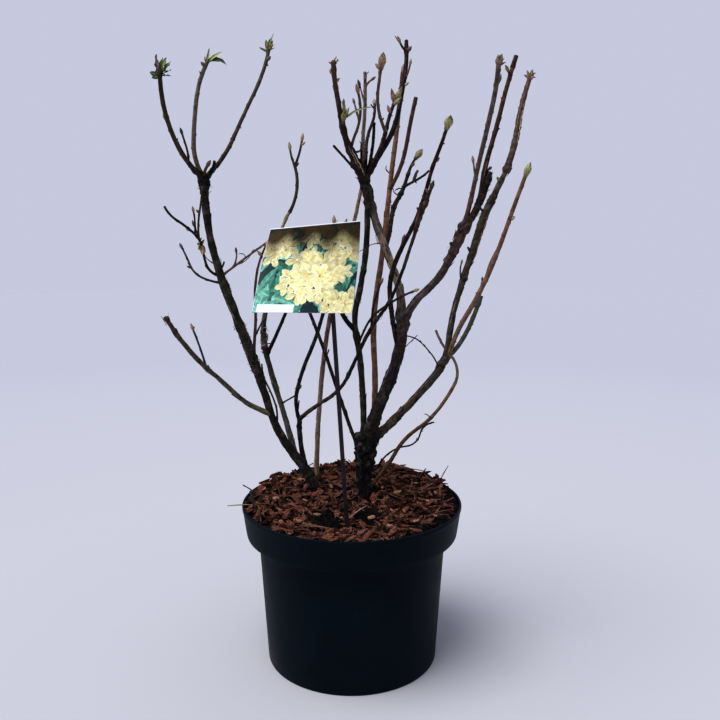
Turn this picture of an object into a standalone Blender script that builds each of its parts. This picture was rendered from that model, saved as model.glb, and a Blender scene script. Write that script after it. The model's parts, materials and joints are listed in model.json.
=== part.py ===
# Potted deciduous azalea in early spring: bare stems with swelling buds in a round black nursery
# pot, with a picture card on a stake. Metres, +Z up. The origin is the centre of the pot's flat
# underside, +X is to the right and +Y to the back as the plant is usually seen.

import math
import random
from dataclasses import dataclass

import bmesh
import bpy
from mathutils import Vector

MM = 0.001
GAP = 0.0003
MERGE = 0.000008

# Pot
POT_HEIGHT = 0.210
POT_SIDES = 40
BASE_RADIUS = 0.1115
BODY_TOP_RADIUS = 0.1215
COLLAR_HEIGHT = 0.040
COLLAR_FOOT_RADIUS = 0.1365
RIM_RADIUS = 0.1420
WALL = 0.0025
FLOOR = 0.0030
EDGE_ROUND = 0.0015
COLLAR_FOOT = POT_HEIGHT - COLLAR_HEIGHT
LEDGE = COLLAR_FOOT + WALL
DRAIN_HOLES = 8
DRAIN_HOLE_RADIUS = 0.0070
DRAIN_RING_RADIUS = 0.0850
DRAIN_HOLE_SIDES = 10

# Potting mix and the bark mulch heaped on it
MIX_TOP = 0.190
MULCH_LEVEL = 0.2055
MULCH_HEAP = 0.0170
HEAP_START = -0.046
HEAP_DEPTH = 0.192
MULCH_EDGE = 0.0060
MULCH_RINGS = 7
LUMP_HEIGHT = 0.0014

# Each wave of lumps: turns a metre along its way, how far and how fast it wanders, and its start
LUMP_WAVES = ((150, 1.3, 126, 0.0), (168, 1.7, 109, 0.8))

# Picture card, curled and twisted, and the flat stake that carries it
CARD_WIDTH = 0.112
CARD_HEIGHT = 0.100
CARD_THICKNESS = 0.0008
CARD_FOOT = Vector((-0.055, -0.100, 0.4665))
CARD_LEAN = (23, -13)
CARD_TURN = (9, -23)
CARD_ROLL = (-1.5, 4.7)
CARD_SLANT = 8.5
CARD_COLUMNS = 8
CARD_ROWS = 10
CARD_STEPS = 24
STAKE_FOOT = Vector((-0.0045, -0.0730, MIX_TOP + GAP))
STAKE_WIDTH = 0.0050
STAKE_THICKNESS = 0.0016
STAKE_HEAD_WIDTH = 0.0090
STAKE_NECK = 0.97
STAKE_ON_CARD = (0.22, (0.48, 0.53, 0.58))

# Limbs
PATH_STEPS = 40
BOUGH_SIDES = 8
BOUGH_RING_STEP = 0.020
SHOOT_SIDES = 5
SHOOT_RING_STEP = 0.026
TWIG_SIDES = 4
FOOT_HEIGHT = MIX_TOP + GAP
FLARE = 0.45
FLARE_HEIGHT = 0.016
FLARE_RING = 1.2
TIP_ROUND = 0.35
TIP_SLIM = 0.6

# Side twigs, buds and young leaves
SEED = 11
SPUR_SPACING = 0.030
SPUR_CHANCE = 0.75
SPUR_LENGTH = (0.008, 0.022)
SPUR_THICKNESS = 0.0024
SPUR_TAPER = (1.2, 1.0, 0.9)
SPUR_BUD = (0.6, 0.85)
SPUR_LEAN = (28, 55)
SPUR_TO_BACK = 0.72
TURN_BETWEEN_SPURS = 137.5
SPUR_CLEARANCE = 0.003
SPUR_CHECKS = (0.45, 0.6, 0.8, 1.0)
CROWN_RADIUS = 0.245
CROWN_TOP = 0.785
BUD_LENGTH = 0.011
BUD_WIDTH = 0.0046
LEAF_LENGTH = 0.024
LEAF_WIDTH = 0.0065
LEAF_THICKNESS = 0.0012
LEAF_MIDDLE = 0.55
LEAF_ROOT = 0.06
LEAF_SPREAD = 48

# Half widths of a bud along its length, as shares of its width and length
BUD_PROFILE = ((-0.25, 0.30), (0.0, 0.36), (0.42, 0.50), (0.85, 0.22), (1.0, 0.06))


@dataclass
class Limb:
    """A limb: where it springs, and its leans and thickness in even steps from foot to tip."""

    parent: str  # the limb it grows from, or "ground"
    spring: object  # share of the parent's length, or (x, y) of a foot on the ground in mm
    length: float  # mm
    side: tuple  # degrees from upright toward +X
    back: tuple  # degrees from upright toward +Y
    thick: tuple  # mm
    offset: float = 0.0  # mm toward +X from the parent's middle line


BOUGHS = {
    "left_stem": Limb("ground", (-45, 47), 459, (-11, -37, -14, -17, -19, -9, 4),
                      (-10, -12), (14, 12, 10, 14, 9, 8, 8)),
    "trunk": Limb("ground", (15, 20), 100, (0, 5), (0,), (19, 17.5, 24)),
    "main_bough": Limb("trunk", 0.95, 175, (11, 22, 16, -4), (-9, -8), (15, 14.5, 14.5), 3),
    "middle_bough": Limb("main_bough", 1.0, 173, (7, -18, -23, -18, -11), (-3, -4),
                         (10.5, 9.5, 9.5, 10.7), -2),
    "right_bough": Limb("main_bough", 0.98, 142, (20, 47, 23, 21), (-31, -21), (11, 11, 12.5), 3),
    "low_right_bough": Limb("trunk", 0.89, 165, (55, 47, 46, 32), (23, 31), (10.5, 9.5, 9.5)),
    "centre_bough": Limb("trunk", 0.88, 338, (8, -2, -4, -11, 14, 7, 1, -6), (2, -19),
                         (8, 7, 6, 6, 6.4), -6),
    "outer_bough": Limb("low_right_bough", 0.99, 264, (8, 8, 18, 18, 17, 27, 27), (5, 9),
                        (9.3, 9.3, 9.1, 7.2)),
    "inner_stem": Limb("left_stem", 0.17, 343, (-15, -19, -17, 13, 6, 30), (20, 9),
                       (8, 8, 9, 5, 4.5)),
    "base_stem": Limb("left_stem", 0.13, 64, (-16, 2), (13, 6), (7, 6.4), 3),
    "slender_bough": Limb("base_stem", 0.99, 377, (43, 55, 23, 22, 34, 17, 15, 18),
                          (-40, -29, -34), (5.2, 4.8, 4.6, 4.4, 4)),
    "left_low_bough": Limb("left_stem", 0.32, 228, (-71, -34, -35, -24, -14), (-43, -46),
                           (7.7, 7, 6.3)),
    "left_back_stem": Limb("ground", (-50, 79), 439, (-1, 4, 8, 17, 11), (2, 1), (5.2, 5, 4.6)),
    "back_stem": Limb("ground", (16, 72), 389, (7, 7, -4, 9, 6), (7, 6), (6.7, 6.5, 6.2)),
    "arching_stem": Limb("ground", (6, 56), 215, (52, 42, 32, 58, 41, 29), (23, 20), (4.6, 4.2)),
}

# Each mass is the shoots that branch from its first one, the mass's own stem.
MASSES = {
    "left_crown_twigs": {
        "left_knot": Limb("left_stem", 0.98, 14, (4,), (-12,), (8.6, 7)),
        "left_outer_shoot": Limb("left_stem", 1.0, 135, (-49, -22, -5, 9), (-37, -34), (6, 5.2, 4.8)),
        "left_middle_shoot": Limb("left_stem", 1.0, 141, (-34, 2, 6, 27), (10, 8), (5.6, 5.2, 4.6)),
        "left_inner_shoot": Limb("left_stem", 1.0, 202, (44, 19, 23, 9), (36, 25), (6, 5.4, 4.8)),
        "left_thin_twig": Limb("left_outer_shoot", 0.20, 33, (11, -11, -14), (-20,), (2.8, 2.2)),
        "left_red_stub": Limb("left_stem", 1.0, 27, (-17, 32, 69), (-42,), (3.4, 2.8)),
        "left_black_stub": Limb("left_inner_shoot", 0.04, 19, (52, 8), (-29,), (5, 3.4)),
    },
    "left_upper_twigs": {
        "left_upper_twig": Limb("left_stem", 0.74, 130, (-81, -7, 2, -41, -52, -7), (-33, -54),
                                (3.2, 3, 2.4)),
        "left_upper_fork": Limb("left_upper_twig", 0.50, 78, (4, 20, 18), (-43,), (2.6, 2)),
        "left_upper_side": Limb("left_upper_twig", 0.58, 27, (12, -6), (-19,), (2.2, 2)),
    },
    "left_lower_twigs": {
        "left_lower_twig": Limb("left_stem", 0.72, 89, (-85, -70, -31, -33), (64, 34), (3, 2.4)),
    },
    "left_inner_twigs": {
        "left_inner_twig": Limb("left_stem", 0.74, 95, (54, 50, 52, 50), (52, 68), (3, 2.6)),
        "left_inner_side": Limb("left_inner_twig", 0.21, 21, (37, -9), (18,), (2.2, 2)),
    },
    "card_edge_twigs": {
        "card_edge_shoot": Limb("left_stem", 0.48, 152, (0, 5, -3, 10, 28), (6,), (4.4, 3.6, 2.6)),
    },
    "inner_thread_twigs": {
        "inner_thread": Limb("left_stem", 0.29, 84, (9, -16, -25, 3), (-9,), (2.6, 2.2), 3),
    },
    "low_left_twigs": {
        "low_left_twig": Limb("left_low_bough", 0.55, 49, (-13, -20), (-3,), (3.6, 3)),
    },
    "inner_crown_twigs": {
        "inner_top_shoot": Limb("inner_stem", 1.0, 69, (30, -19), (9, 7), (4.5, 4.4)),
        "inner_top_left": Limb("inner_top_shoot", 0.97, 21, (-24, -6), (-6,), (3.2, 3)),
        "inner_top_right": Limb("inner_top_shoot", 0.95, 36, (24, 8), (10,), (3.4, 3)),
    },
    "card_side_twigs": {
        "card_side_shoot": Limb("inner_stem", 0.41, 151, (27, 23, 13), (-16, -4), (6, 5, 4.2)),
    },
    "base_left_twigs": {
        "base_left_shoot": Limb("base_stem", 0.97, 183, (-20, 15, 24, 16, 17), (4, 19), (5.6, 5, 4.4)),
        "base_link_twig": Limb("inner_stem", 0.21, 32, (54,), (-50,), (2.2, 2)),
        "base_spur": Limb("base_left_shoot", 0.05, 19, (8,), (-12,), (2.2, 1.8)),
    },
    "slender_tip_twigs": {
        "slender_tip": Limb("slender_bough", 1.0, 14, (18, 16), (-34,), (3.8, 3.4)),
    },
    "slender_side_twigs": {
        "slender_side_twig": Limb("slender_bough", 0.51, 55, (-1, 12, 24), (6,), (2.8, 2.2)),
    },
    "side_stem_twigs": {
        "side_shoot": Limb("trunk", 0.64, 243, (-25, -19, -18, -20, -26), (9, 0), (5, 4.6, 4.4)),
    },
    "crossing_twigs": {
        "crossing_shoot": Limb("main_bough", 0.73, 305, (-15, -9, -5, 19, 28, 18, 11, 19, 12),
                               (-8, -21, -49), (5.5, 5, 4.6, 4)),
    },
    "knotty_twigs": {
        "knotty_shoot": Limb("middle_bough", 0.51, 133, (25, 9, 8, 33, 20, 19, 39), (25, 28),
                             (5, 4.6, 3.4)),
        "knotty_fork": Limb("knotty_shoot", 0.65, 50, (61, 63, 43), (-65,), (3.4, 2.6)),
        "knotty_stub": Limb("knotty_fork", 0.38, 14, (4, 35), (-8,), (3.6, 3.2)),
    },
    "bud_twigs": {
        "bud_twig": Limb("centre_bough", 0.40, 122, (22, 23, 49, 56, 63), (-22, -62), (3, 2.6)),
    },
    "centre_fork_twigs": {
        "centre_fork": Limb("centre_bough", 0.46, 144, (-54, -14, -5, 0, 0), (-13, 24), (6.4, 5, 3.6)),
        "centre_fork_side": Limb("centre_fork", 0.65, 47, (21, 14), (-3,), (3, 2.6)),
    },
    "thread_twigs": {
        "thread_twig": Limb("low_right_bough", 0.87, 101, (-20, -37, -43, -75), (-30, -72), (2.2, 1.8)),
    },
    "outer_side_twigs": {
        "outer_side_twig": Limb("outer_bough", 0.39, 28, (-22, 10), (-18,), (2.2, 1.8)),
    },
    "crown_twigs": {
        "crown_knot": Limb("middle_bough", 0.98, 22, (-8,), (-4,), (10.5, 9)),
        "crown_left_shoot": Limb("middle_bough", 1.0, 148, (-26, -28, -11, -10, -2), (-31, -32),
                                 (9.5, 6.5, 4.2)),
        "crown_middle_shoot": Limb("middle_bough", 1.0, 123, (-7, 5, -3), (-4, -25), (5, 4.4, 3.6)),
        "crown_left_fork": Limb("crown_left_shoot", 0.28, 67, (12, 24, 3, -15), (-20,), (3.6, 3)),
        "crown_back_shoot": Limb("middle_bough", 1.0, 121, (5, 1, 22, -5), (26, 45), (4.6, 4, 3.2)),
        "crown_right_shoot": Limb("middle_bough", 1.0, 104, (29, 26, 12, 23), (11, 22), (6, 5, 3.8)),
        "crown_right_fork": Limb("crown_right_shoot", 0.62, 91, (-29, -15, 7, 9), (-43,), (4, 3.4)),
        "crown_top_shoot": Limb("middle_bough", 1.0, 197, (29, 33, 12, 10, -1), (22, 28),
                                (7.5, 5.7, 4.8)),
        "crown_left_stub": Limb("middle_bough", 1.0, 58, (-44, -44), (-34,), (3.4, 2.8)),
        "crown_front_stub": Limb("middle_bough", 1.0, 72, (21, -2), (-29,), (4, 3.4)),
        "crown_bud_stub": Limb("crown_left_shoot", 0.49, 10, (8,), (-52,), (5, 4.4)),
        "crown_side_twig": Limb("crown_middle_shoot", 0.86, 11, (25, 53), (7,), (2.4, 2)),
        "crown_top_bud": Limb("crown_top_shoot", 0.96, 14, (-57, -27), (-32,), (3, 2.6)),
        "crown_top_side": Limb("crown_top_shoot", 0.74, 21, (31, 10), (8,), (2.6, 2.2)),
    },
    "right_crown_twigs": {
        "right_knot": Limb("right_bough", 0.98, 15, (24,), (-10,), (11, 9)),
        "right_inner_shoot": Limb("right_bough", 0.68, 237, (36, 14, 8, 9, 6, -5), (-4, -44),
                                  (6.5, 6, 5.4, 4.8), -3),
        "right_outer_shoot": Limb("right_bough", 0.99, 199, (42, 7, 17, 14, 18), (8, 10), (7.5, 6, 5)),
        "right_outer_bud": Limb("right_outer_shoot", 0.94, 7, (-41,), (-50,), (3, 2.6)),
        "right_dead_stub": Limb("right_bough", 0.99, 72, (36, 24, 16), (10,), (10.5, 9, 8)),
    },
    "far_right_twigs": {
        "far_right_shoot": Limb("low_right_bough", 0.99, 261, (10, 29, 20, 16, 18), (-15, -10),
                                (6.4, 5.6, 5), 3),
        "far_right_strand": Limb("far_right_shoot", 0.45, 48, (7, 21, 34), (0,), (2.6, 2.4)),
        "far_right_stub": Limb("low_right_bough", 0.97, 102, (51, 27, 19), (18, 17), (6.3, 6)),
    },
    "outer_crown_twigs": {
        "outer_top_shoot": Limb("outer_bough", 1.0, 132, (21, 9, 20), (9, 11), (7, 5.6, 4.8)),
    },
    "arching_twigs": {
        "arching_tip": Limb("arching_stem", 1.0, 86, (29, -42, -20), (20, 19), (4.2, 3.6)),
    },
    "low_back_twigs": {
        "low_back_twig": Limb("ground", (26, 110), 141, (13, 23, 49, 84, 12, 84), (0,), (2.6, 2.3)),
    },
    "back_crown_twigs": {
        "back_top_shoot": Limb("back_stem", 1.0, 195, (6, 7, 5), (6, 6), (6.2, 5.8, 5.4)),
        "back_side_shoot": Limb("back_top_shoot", 0.19, 126, (32, 9, 12), (-18,), (4.8, 4.6)),
    },
}

BLUNT_TIPS = {
    "left_knot", "crown_knot", "right_knot", "crown_top_shoot", "crown_left_stub", "crown_front_stub",
    "right_outer_shoot", "right_dead_stub", "far_right_stub", "back_side_shoot", "knotty_fork",
    "card_side_shoot", "side_shoot", "inner_top_shoot", "arching_tip", "left_black_stub",
    "left_middle_shoot", "left_upper_twig", "knotty_stub", "base_spur", "base_link_twig",
    "low_back_twig", "crown_left_shoot", "crown_middle_shoot", "far_right_strand", "inner_thread",
}
BARE_SHOOTS = {"left_knot", "crown_knot", "right_knot", "crown_left_stub", "knotty_fork", "low_back_twig"}
LEAVES_AT_TIP = {
    "left_outer_shoot": 4, "left_middle_shoot": 3, "left_inner_shoot": 3, "crown_bud_stub": 1,
    "right_inner_shoot": 2,
}

# Length and width in mm of the tip buds that have swollen most
BIG_BUDS = {
    "crossing_shoot": (15, 9), "crown_right_fork": (17, 8.5), "crown_bud_stub": (15, 8),
    "knotty_shoot": (14, 8), "far_right_shoot": (16, 8),
}


def between(values, share):
    """The value at a share of the way through evenly spaced values."""
    place = share * (len(values) - 1)
    low = min(int(place), max(len(values) - 2, 0))
    high = min(low + 1, len(values) - 1)
    return values[low] + (values[high] - values[low]) * (place - low)


def material(name, colour, roughness, metallic=0.0):
    made = bpy.data.materials.new(name)
    made.use_nodes = True
    surface = made.node_tree.nodes["Principled BSDF"]
    surface.inputs["Base Color"].default_value = (*colour, 1.0)
    surface.inputs["Roughness"].default_value = roughness
    surface.inputs["Metallic"].default_value = metallic
    return made


def finish(mesh, name, surface, smooth_angle=40):
    """Puts a bmesh into a named object with its faces out, shaded smooth, and with a material."""
    bmesh.ops.recalc_face_normals(mesh, faces=mesh.faces[:])
    data = bpy.data.meshes.new(name)
    mesh.to_mesh(data)
    mesh.free()
    data.shade_smooth()
    data.set_sharp_from_angle(angle=math.radians(smooth_angle))
    if surface:
        data.materials.append(surface)
    made = bpy.data.objects.new(name, data)
    bpy.context.scene.collection.objects.link(made)
    return made


def loft(mesh, rings):
    """Joins equal rings of points into a closed skin with a face across each end."""
    loops = [[mesh.verts.new(point) for point in ring] for ring in rings]
    count = len(loops[0])
    for lower, upper in zip(loops, loops[1:]):
        for k in range(count):
            after = (k + 1) % count
            mesh.faces.new((lower[k], lower[after], upper[after], upper[k]))
    mesh.faces.new(loops[0])
    mesh.faces.new(loops[-1])


def turned(profile, sides):
    """A solid of revolution: the profile starts and ends on the axis, as (radius, height)."""
    mesh = bmesh.new()
    loops = []
    for radius, height in profile[1:-1]:
        turns = [2 * math.pi * k / sides for k in range(sides)]
        loops.append([mesh.verts.new((radius * math.cos(a), radius * math.sin(a), height)) for a in turns])
    for lower, upper in zip(loops, loops[1:]):
        for k in range(sides):
            after = (k + 1) % sides
            mesh.faces.new((lower[k], lower[after], upper[after], upper[k]))
    for loop, (_, height) in ((loops[0], profile[0]), (loops[-1], profile[-1])):
        centre = mesh.verts.new((0, 0, height))
        for k in range(sides):
            mesh.faces.new((loop[k], loop[(k + 1) % sides], centre))
    return mesh


def boolean(target, cutters, operation):
    """Joins or cuts the target with all the cutters at once, applies that and removes them."""
    if not cutters:
        return
    group = bpy.data.collections.new("cutters")
    bpy.context.scene.collection.children.link(group)
    for cutter in cutters:
        bpy.context.scene.collection.objects.unlink(cutter)
        group.objects.link(cutter)
    change = target.modifiers.new(operation.lower(), "BOOLEAN")
    change.operation = operation
    change.operand_type = "COLLECTION"
    change.collection = group
    change.solver = "EXACT"
    bpy.context.view_layer.update()
    evaluated = target.evaluated_get(bpy.context.evaluated_depsgraph_get())
    result = bpy.data.meshes.new_from_object(evaluated)
    target.modifiers.remove(change)
    target.data = result
    for cutter in cutters:
        bpy.data.objects.remove(cutter)
    bpy.data.collections.remove(group)


def tidy(target):
    """Merges points a hair apart and keeps the largest body, dropping scraps of a cut."""
    mesh = bmesh.new()
    mesh.from_mesh(target.data)
    bmesh.ops.remove_doubles(mesh, verts=mesh.verts[:], dist=MERGE)
    bmesh.ops.dissolve_degenerate(mesh, edges=mesh.edges[:], dist=MERGE)
    left = set(mesh.verts)
    bodies = []
    while left:
        body = {left.pop()}
        edge_of_body = set(body)
        while edge_of_body:
            beside = {edge.other_vert(v) for v in edge_of_body for edge in v.link_edges}
            edge_of_body = beside - body
            body |= edge_of_body
        left -= body
        bodies.append(body)
    largest = max(bodies, key=len)
    scraps = [v for body in bodies if body is not largest for v in body]
    bmesh.ops.delete(mesh, geom=scraps, context="VERTS")
    mesh.to_mesh(target.data)
    mesh.free()


# Pot

def body_radius(height):
    """Outside of the pot below its collar."""
    share = height / (POT_HEIGHT - COLLAR_HEIGHT)
    return BASE_RADIUS + (BODY_TOP_RADIUS - BASE_RADIUS) * share


def collar_radius(height):
    """Outside of the pot's collar."""
    share = (height - POT_HEIGHT + COLLAR_HEIGHT) / COLLAR_HEIGHT
    return COLLAR_FOOT_RADIUS + (RIM_RADIUS - COLLAR_FOOT_RADIUS) * share


def make_pot():
    outside = [
        (0, 0),
        (BASE_RADIUS - EDGE_ROUND, 0),
        (BASE_RADIUS, EDGE_ROUND),
        (BODY_TOP_RADIUS, COLLAR_FOOT - EDGE_ROUND),
        (BODY_TOP_RADIUS + EDGE_ROUND, COLLAR_FOOT),
        (COLLAR_FOOT_RADIUS - EDGE_ROUND, COLLAR_FOOT),
        (COLLAR_FOOT_RADIUS, COLLAR_FOOT + EDGE_ROUND),
        (RIM_RADIUS, POT_HEIGHT - EDGE_ROUND),
        (RIM_RADIUS - EDGE_ROUND / 2, POT_HEIGHT),
    ]
    inside = [
        (RIM_RADIUS - WALL, POT_HEIGHT),
        (COLLAR_FOOT_RADIUS - WALL, LEDGE),
        (BODY_TOP_RADIUS - WALL, LEDGE),
        (body_radius(FLOOR) - WALL, FLOOR),
        (0, FLOOR),
    ]
    surface = material("black nursery plastic", (0.008, 0.011, 0.014), 0.45)
    pot = finish(turned(outside + inside, POT_SIDES), "pot", surface, 30)
    drills = []
    for k in range(DRAIN_HOLES):
        turn = 2 * math.pi * (k + 0.5) / DRAIN_HOLES
        at = Vector((math.cos(turn), math.sin(turn), 0)) * DRAIN_RING_RADIUS
        mesh = bmesh.new()
        bmesh.ops.create_cone(mesh, cap_ends=True, segments=DRAIN_HOLE_SIDES, radius1=DRAIN_HOLE_RADIUS,
                              radius2=DRAIN_HOLE_RADIUS, depth=4 * FLOOR)
        bmesh.ops.translate(mesh, verts=mesh.verts[:], vec=at)
        drills.append(finish(mesh, "drill", None))
    boolean(pot, drills, "DIFFERENCE")


def make_potting_mix():
    below = FLOOR + GAP
    corner = LEDGE + GAP
    profile = [
        (0, below),
        (body_radius(below) - WALL - GAP, below),
        (BODY_TOP_RADIUS - WALL - GAP, corner),
        (COLLAR_FOOT_RADIUS - WALL - GAP, corner),
        (collar_radius(MIX_TOP) - WALL - GAP, MIX_TOP),
        (0, MIX_TOP),
    ]
    surface = material("dark peat mix", (0.012, 0.008, 0.006), 0.95)
    finish(turned(profile, POT_SIDES), "potting_mix", surface, 30)


def mulch_height(x, y):
    """Top of the mulch: level in front, heaped above the rim at the back, lumpy all over."""
    climb = min(max((y - HEAP_START) / HEAP_DEPTH, 0.0), 1.0)
    inside = (collar_radius(MULCH_LEVEL) - WALL - GAP - math.hypot(x, y)) / MULCH_EDGE
    edge = math.sin(min(max(inside, 0.0), 1.0) * math.pi / 2)
    wave = 0.0
    for (ahead, beside), (rate, reach, wander, start) in zip(((x, y), (y, x)), LUMP_WAVES):
        wave += math.sin(ahead * rate + reach * math.sin(beside * wander) + start)
    return MULCH_LEVEL + (MULCH_HEAP * climb + LUMP_HEIGHT * wave) * edge


def make_mulch(stems):
    mesh = bmesh.new()
    bottom = MIX_TOP + GAP
    foot_radius = collar_radius(bottom) - WALL - GAP
    edge_radius = collar_radius(MULCH_LEVEL) - WALL - GAP
    loops = []
    inner_radius = edge_radius - MULCH_EDGE
    radii = [foot_radius, edge_radius] + [inner_radius * (1 - k / MULCH_RINGS) for k in range(MULCH_RINGS)]
    for radius in radii:
        loop = []
        for k in range(POT_SIDES):
            turn = 2 * math.pi * k / POT_SIDES
            x = radius * math.cos(turn)
            y = radius * math.sin(turn)
            loop.append(mesh.verts.new((x, y, mulch_height(x, y) if loops else bottom)))
        loops.append(loop)
    for lower, upper in zip(loops, loops[1:]):
        for k in range(POT_SIDES):
            after = (k + 1) % POT_SIDES
            mesh.faces.new((lower[k], lower[after], upper[after], upper[k]))
    for loop, height in ((loops[0], bottom), (loops[-1], mulch_height(0, 0))):
        centre = mesh.verts.new((0, 0, height))
        for k in range(POT_SIDES):
            mesh.faces.new((loop[k], loop[(k + 1) % POT_SIDES], centre))
    surface = material("bark mulch", (0.145, 0.056, 0.030), 0.9)
    mulch = finish(mesh, "bark_mulch", surface)
    boolean(mulch, stems, "DIFFERENCE")
    tidy(mulch)


# Picture card and stake

def card_point(across, up):
    """A point of the card's middle surface and its directions across, up and out of the front."""
    lean_now = math.radians(between(CARD_LEAN, up))
    foot = CARD_FOOT.copy()
    for k in range(CARD_STEPS):
        lean = math.radians(between(CARD_LEAN, up * (k + 0.5) / CARD_STEPS))
        rise = math.cos(lean) * CARD_HEIGHT * up / CARD_STEPS
        slant = math.tan(math.radians(CARD_SLANT)) * rise
        foot += Vector((slant, math.sin(lean) * CARD_HEIGHT * up / CARD_STEPS, rise))
    roll = math.radians(between(CARD_ROLL, up))
    turn = math.radians(between(CARD_TURN, up))
    side = Vector((math.cos(turn) * math.cos(roll), math.sin(turn), math.sin(roll))).normalized()
    rise = Vector((math.tan(math.radians(CARD_SLANT)), math.tan(lean_now), 1)).normalized()
    out = side.cross(rise).normalized()
    return foot + side * CARD_WIDTH * across, side, rise, out


def make_card():
    mesh = bmesh.new()
    sheets = []
    for face in (0.5, -0.5):
        rows = []
        for row in range(CARD_ROWS + 1):
            line = []
            for column in range(CARD_COLUMNS + 1):
                point, _, _, out = card_point(column / CARD_COLUMNS - 0.5, row / CARD_ROWS)
                line.append(mesh.verts.new(point + out * CARD_THICKNESS * face))
            rows.append(line)
        sheets.append(rows)
    for rows in sheets:
        for row in range(CARD_ROWS):
            for column in range(CARD_COLUMNS):
                mesh.faces.new((rows[row][column], rows[row][column + 1],
                                rows[row + 1][column + 1], rows[row + 1][column]))
    edge = [(0, k) for k in range(CARD_COLUMNS)] + [(k, CARD_COLUMNS) for k in range(CARD_ROWS)]
    edge += [(CARD_ROWS, k) for k in range(CARD_COLUMNS, 0, -1)] + [(k, 0) for k in range(CARD_ROWS, 0, -1)]
    for here, after in zip(edge, edge[1:] + edge[:1]):
        mesh.faces.new([sheets[0][here[0]][here[1]], sheets[0][after[0]][after[1]],
                        sheets[1][after[0]][after[1]], sheets[1][here[0]][here[1]]])
    surface = material("printed card", (0.72, 0.66, 0.22), 0.35)
    finish(mesh, "picture_card", surface)


def stake_mesh(grow):
    """The flat stake, thicker by grow on every side: a straight strip, then a head on the card."""
    across, heights = STAKE_ON_CARD
    behind = (CARD_THICKNESS + STAKE_THICKNESS) / 2 + GAP
    stations = []
    for up in heights:
        point, side, _, out = card_point(across, up)
        stations.append((point - out * behind, side, out, STAKE_HEAD_WIDTH))
    neck, side, out, _ = stations[0]
    for share in (STAKE_NECK, 0.0):
        stations.insert(0, (STAKE_FOOT.lerp(neck, share), side, out, STAKE_WIDTH))
    mesh = bmesh.new()
    rings = []
    for middle, side, out, width in stations:
        half = width / 2 + grow
        deep = STAKE_THICKNESS / 2 + grow
        corners = ((-half, -deep), (half, -deep), (half, deep), (-half, deep))
        rings.append([middle + side * u + out * v for u, v in corners])
    for corner in rings[0]:
        corner.z = FOOT_HEIGHT - grow
    loft(mesh, rings)
    return mesh


# Limbs

LIMBS = dict(BOUGHS)
for shoots in MASSES.values():
    LIMBS.update(shoots)
PATHS = {}


def direction(side, back):
    return Vector((math.tan(math.radians(side)), math.tan(math.radians(back)), 1)).normalized()


def path_of(name):
    """The limb's middle line, stepped along its leans from where it springs."""
    if name not in PATHS:
        limb = LIMBS[name]
        if limb.parent == "ground":
            x, y = limb.spring
            start = Vector((x * MM, y * MM, FOOT_HEIGHT))
        else:
            start = point_on(limb.parent, limb.spring) + Vector((limb.offset * MM, 0, 0))
        points = [start]
        step = limb.length * MM / PATH_STEPS
        for k in range(PATH_STEPS):
            share = (k + 0.5) / PATH_STEPS
            points.append(points[-1] + direction(between(limb.side, share), between(limb.back, share)) * step)
        PATHS[name] = points
    return PATHS[name]


def point_on(name, share):
    points = path_of(name)
    place = share * PATH_STEPS
    low = min(int(place), PATH_STEPS - 1)
    return points[low].lerp(points[low + 1], place - low)


def radius_on(name, share):
    limb = LIMBS[name]
    radius = between(limb.thick, share) * MM / 2
    if limb.parent == "ground":
        above = limb.length * MM * share
        radius *= 1 + FLARE * math.exp(-above / FLARE_HEIGHT)
    return radius


def tube_mesh(points, radii, sides, level_foot=False):
    """A round limb through the points, each ring square to the way the limb runs."""
    mesh = bmesh.new()
    rings = []
    across = Vector((1, 0, 0))
    for k, (point, radius) in enumerate(zip(points, radii)):
        before = points[max(k - 1, 0)]
        after = points[min(k + 1, len(points) - 1)]
        along = (after - before).normalized()
        if level_foot and k == 0:
            along = Vector((0, 0, 1))
        across = (across - along * across.dot(along)).normalized()
        other = along.cross(across)
        turns = [2 * math.pi * s / sides for s in range(sides)]
        rings.append([point + (across * math.cos(a) + other * math.sin(a)) * radius for a in turns])
    loft(mesh, rings)
    return mesh


def limb_mesh(name, sides, ring_step, grow=0.0):
    """The limb's skin, thicker by grow, with a short rounded tip."""
    limb = LIMBS[name]
    rings = max(3, round(limb.length * MM / ring_step))
    shares = [k / rings for k in range(rings + 1)]
    on_ground = limb.parent == "ground"
    if on_ground:
        shares.insert(1, FLARE_RING * FLARE_HEIGHT / (limb.length * MM))
    points = [point_on(name, share) for share in shares]
    radii = [radius_on(name, share) + grow for share in shares]
    tip_way = (points[-1] - points[-2]).normalized()
    points[-1] = points[-1] + tip_way * grow
    points.append(points[-1] + tip_way * radii[-1] * TIP_ROUND)
    radii.append(radii[-1] * TIP_SLIM)
    foot_way = (points[1] - points[0]).normalized()
    if on_ground:
        foot_way /= foot_way.z
        radii[0] += grow * (foot_way.length - 1)
    points[0] = points[0] - foot_way * grow
    return tube_mesh(points, radii, sides, on_ground)


def bounds(points, margin):
    low = [min(p[k] for p in points) - margin for k in range(3)]
    high = [max(p[k] for p in points) + margin for k in range(3)]
    return low, high


def near(first, second):
    """Whether two limbs' boxes meet, so that one may need to be cut clear of the other."""
    margin = max(LIMBS[first].thick + LIMBS[second].thick) * MM
    low_a, high_a = bounds(path_of(first), margin)
    low_b, high_b = bounds(path_of(second), 0)
    return all(low_a[k] <= high_b[k] and low_b[k] <= high_a[k] for k in range(3))


def skin_of(name, grow=0.0):
    """The limb's skin as it is built: boughs have more sides than shoots."""
    if name in BOUGHS:
        return limb_mesh(name, BOUGH_SIDES, BOUGH_RING_STEP, grow)
    return limb_mesh(name, SHOOT_SIDES, SHOOT_RING_STEP, grow)


def grown_limb(name, grow=GAP):
    return finish(skin_of(name, grow), "grown " + name, None)


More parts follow.
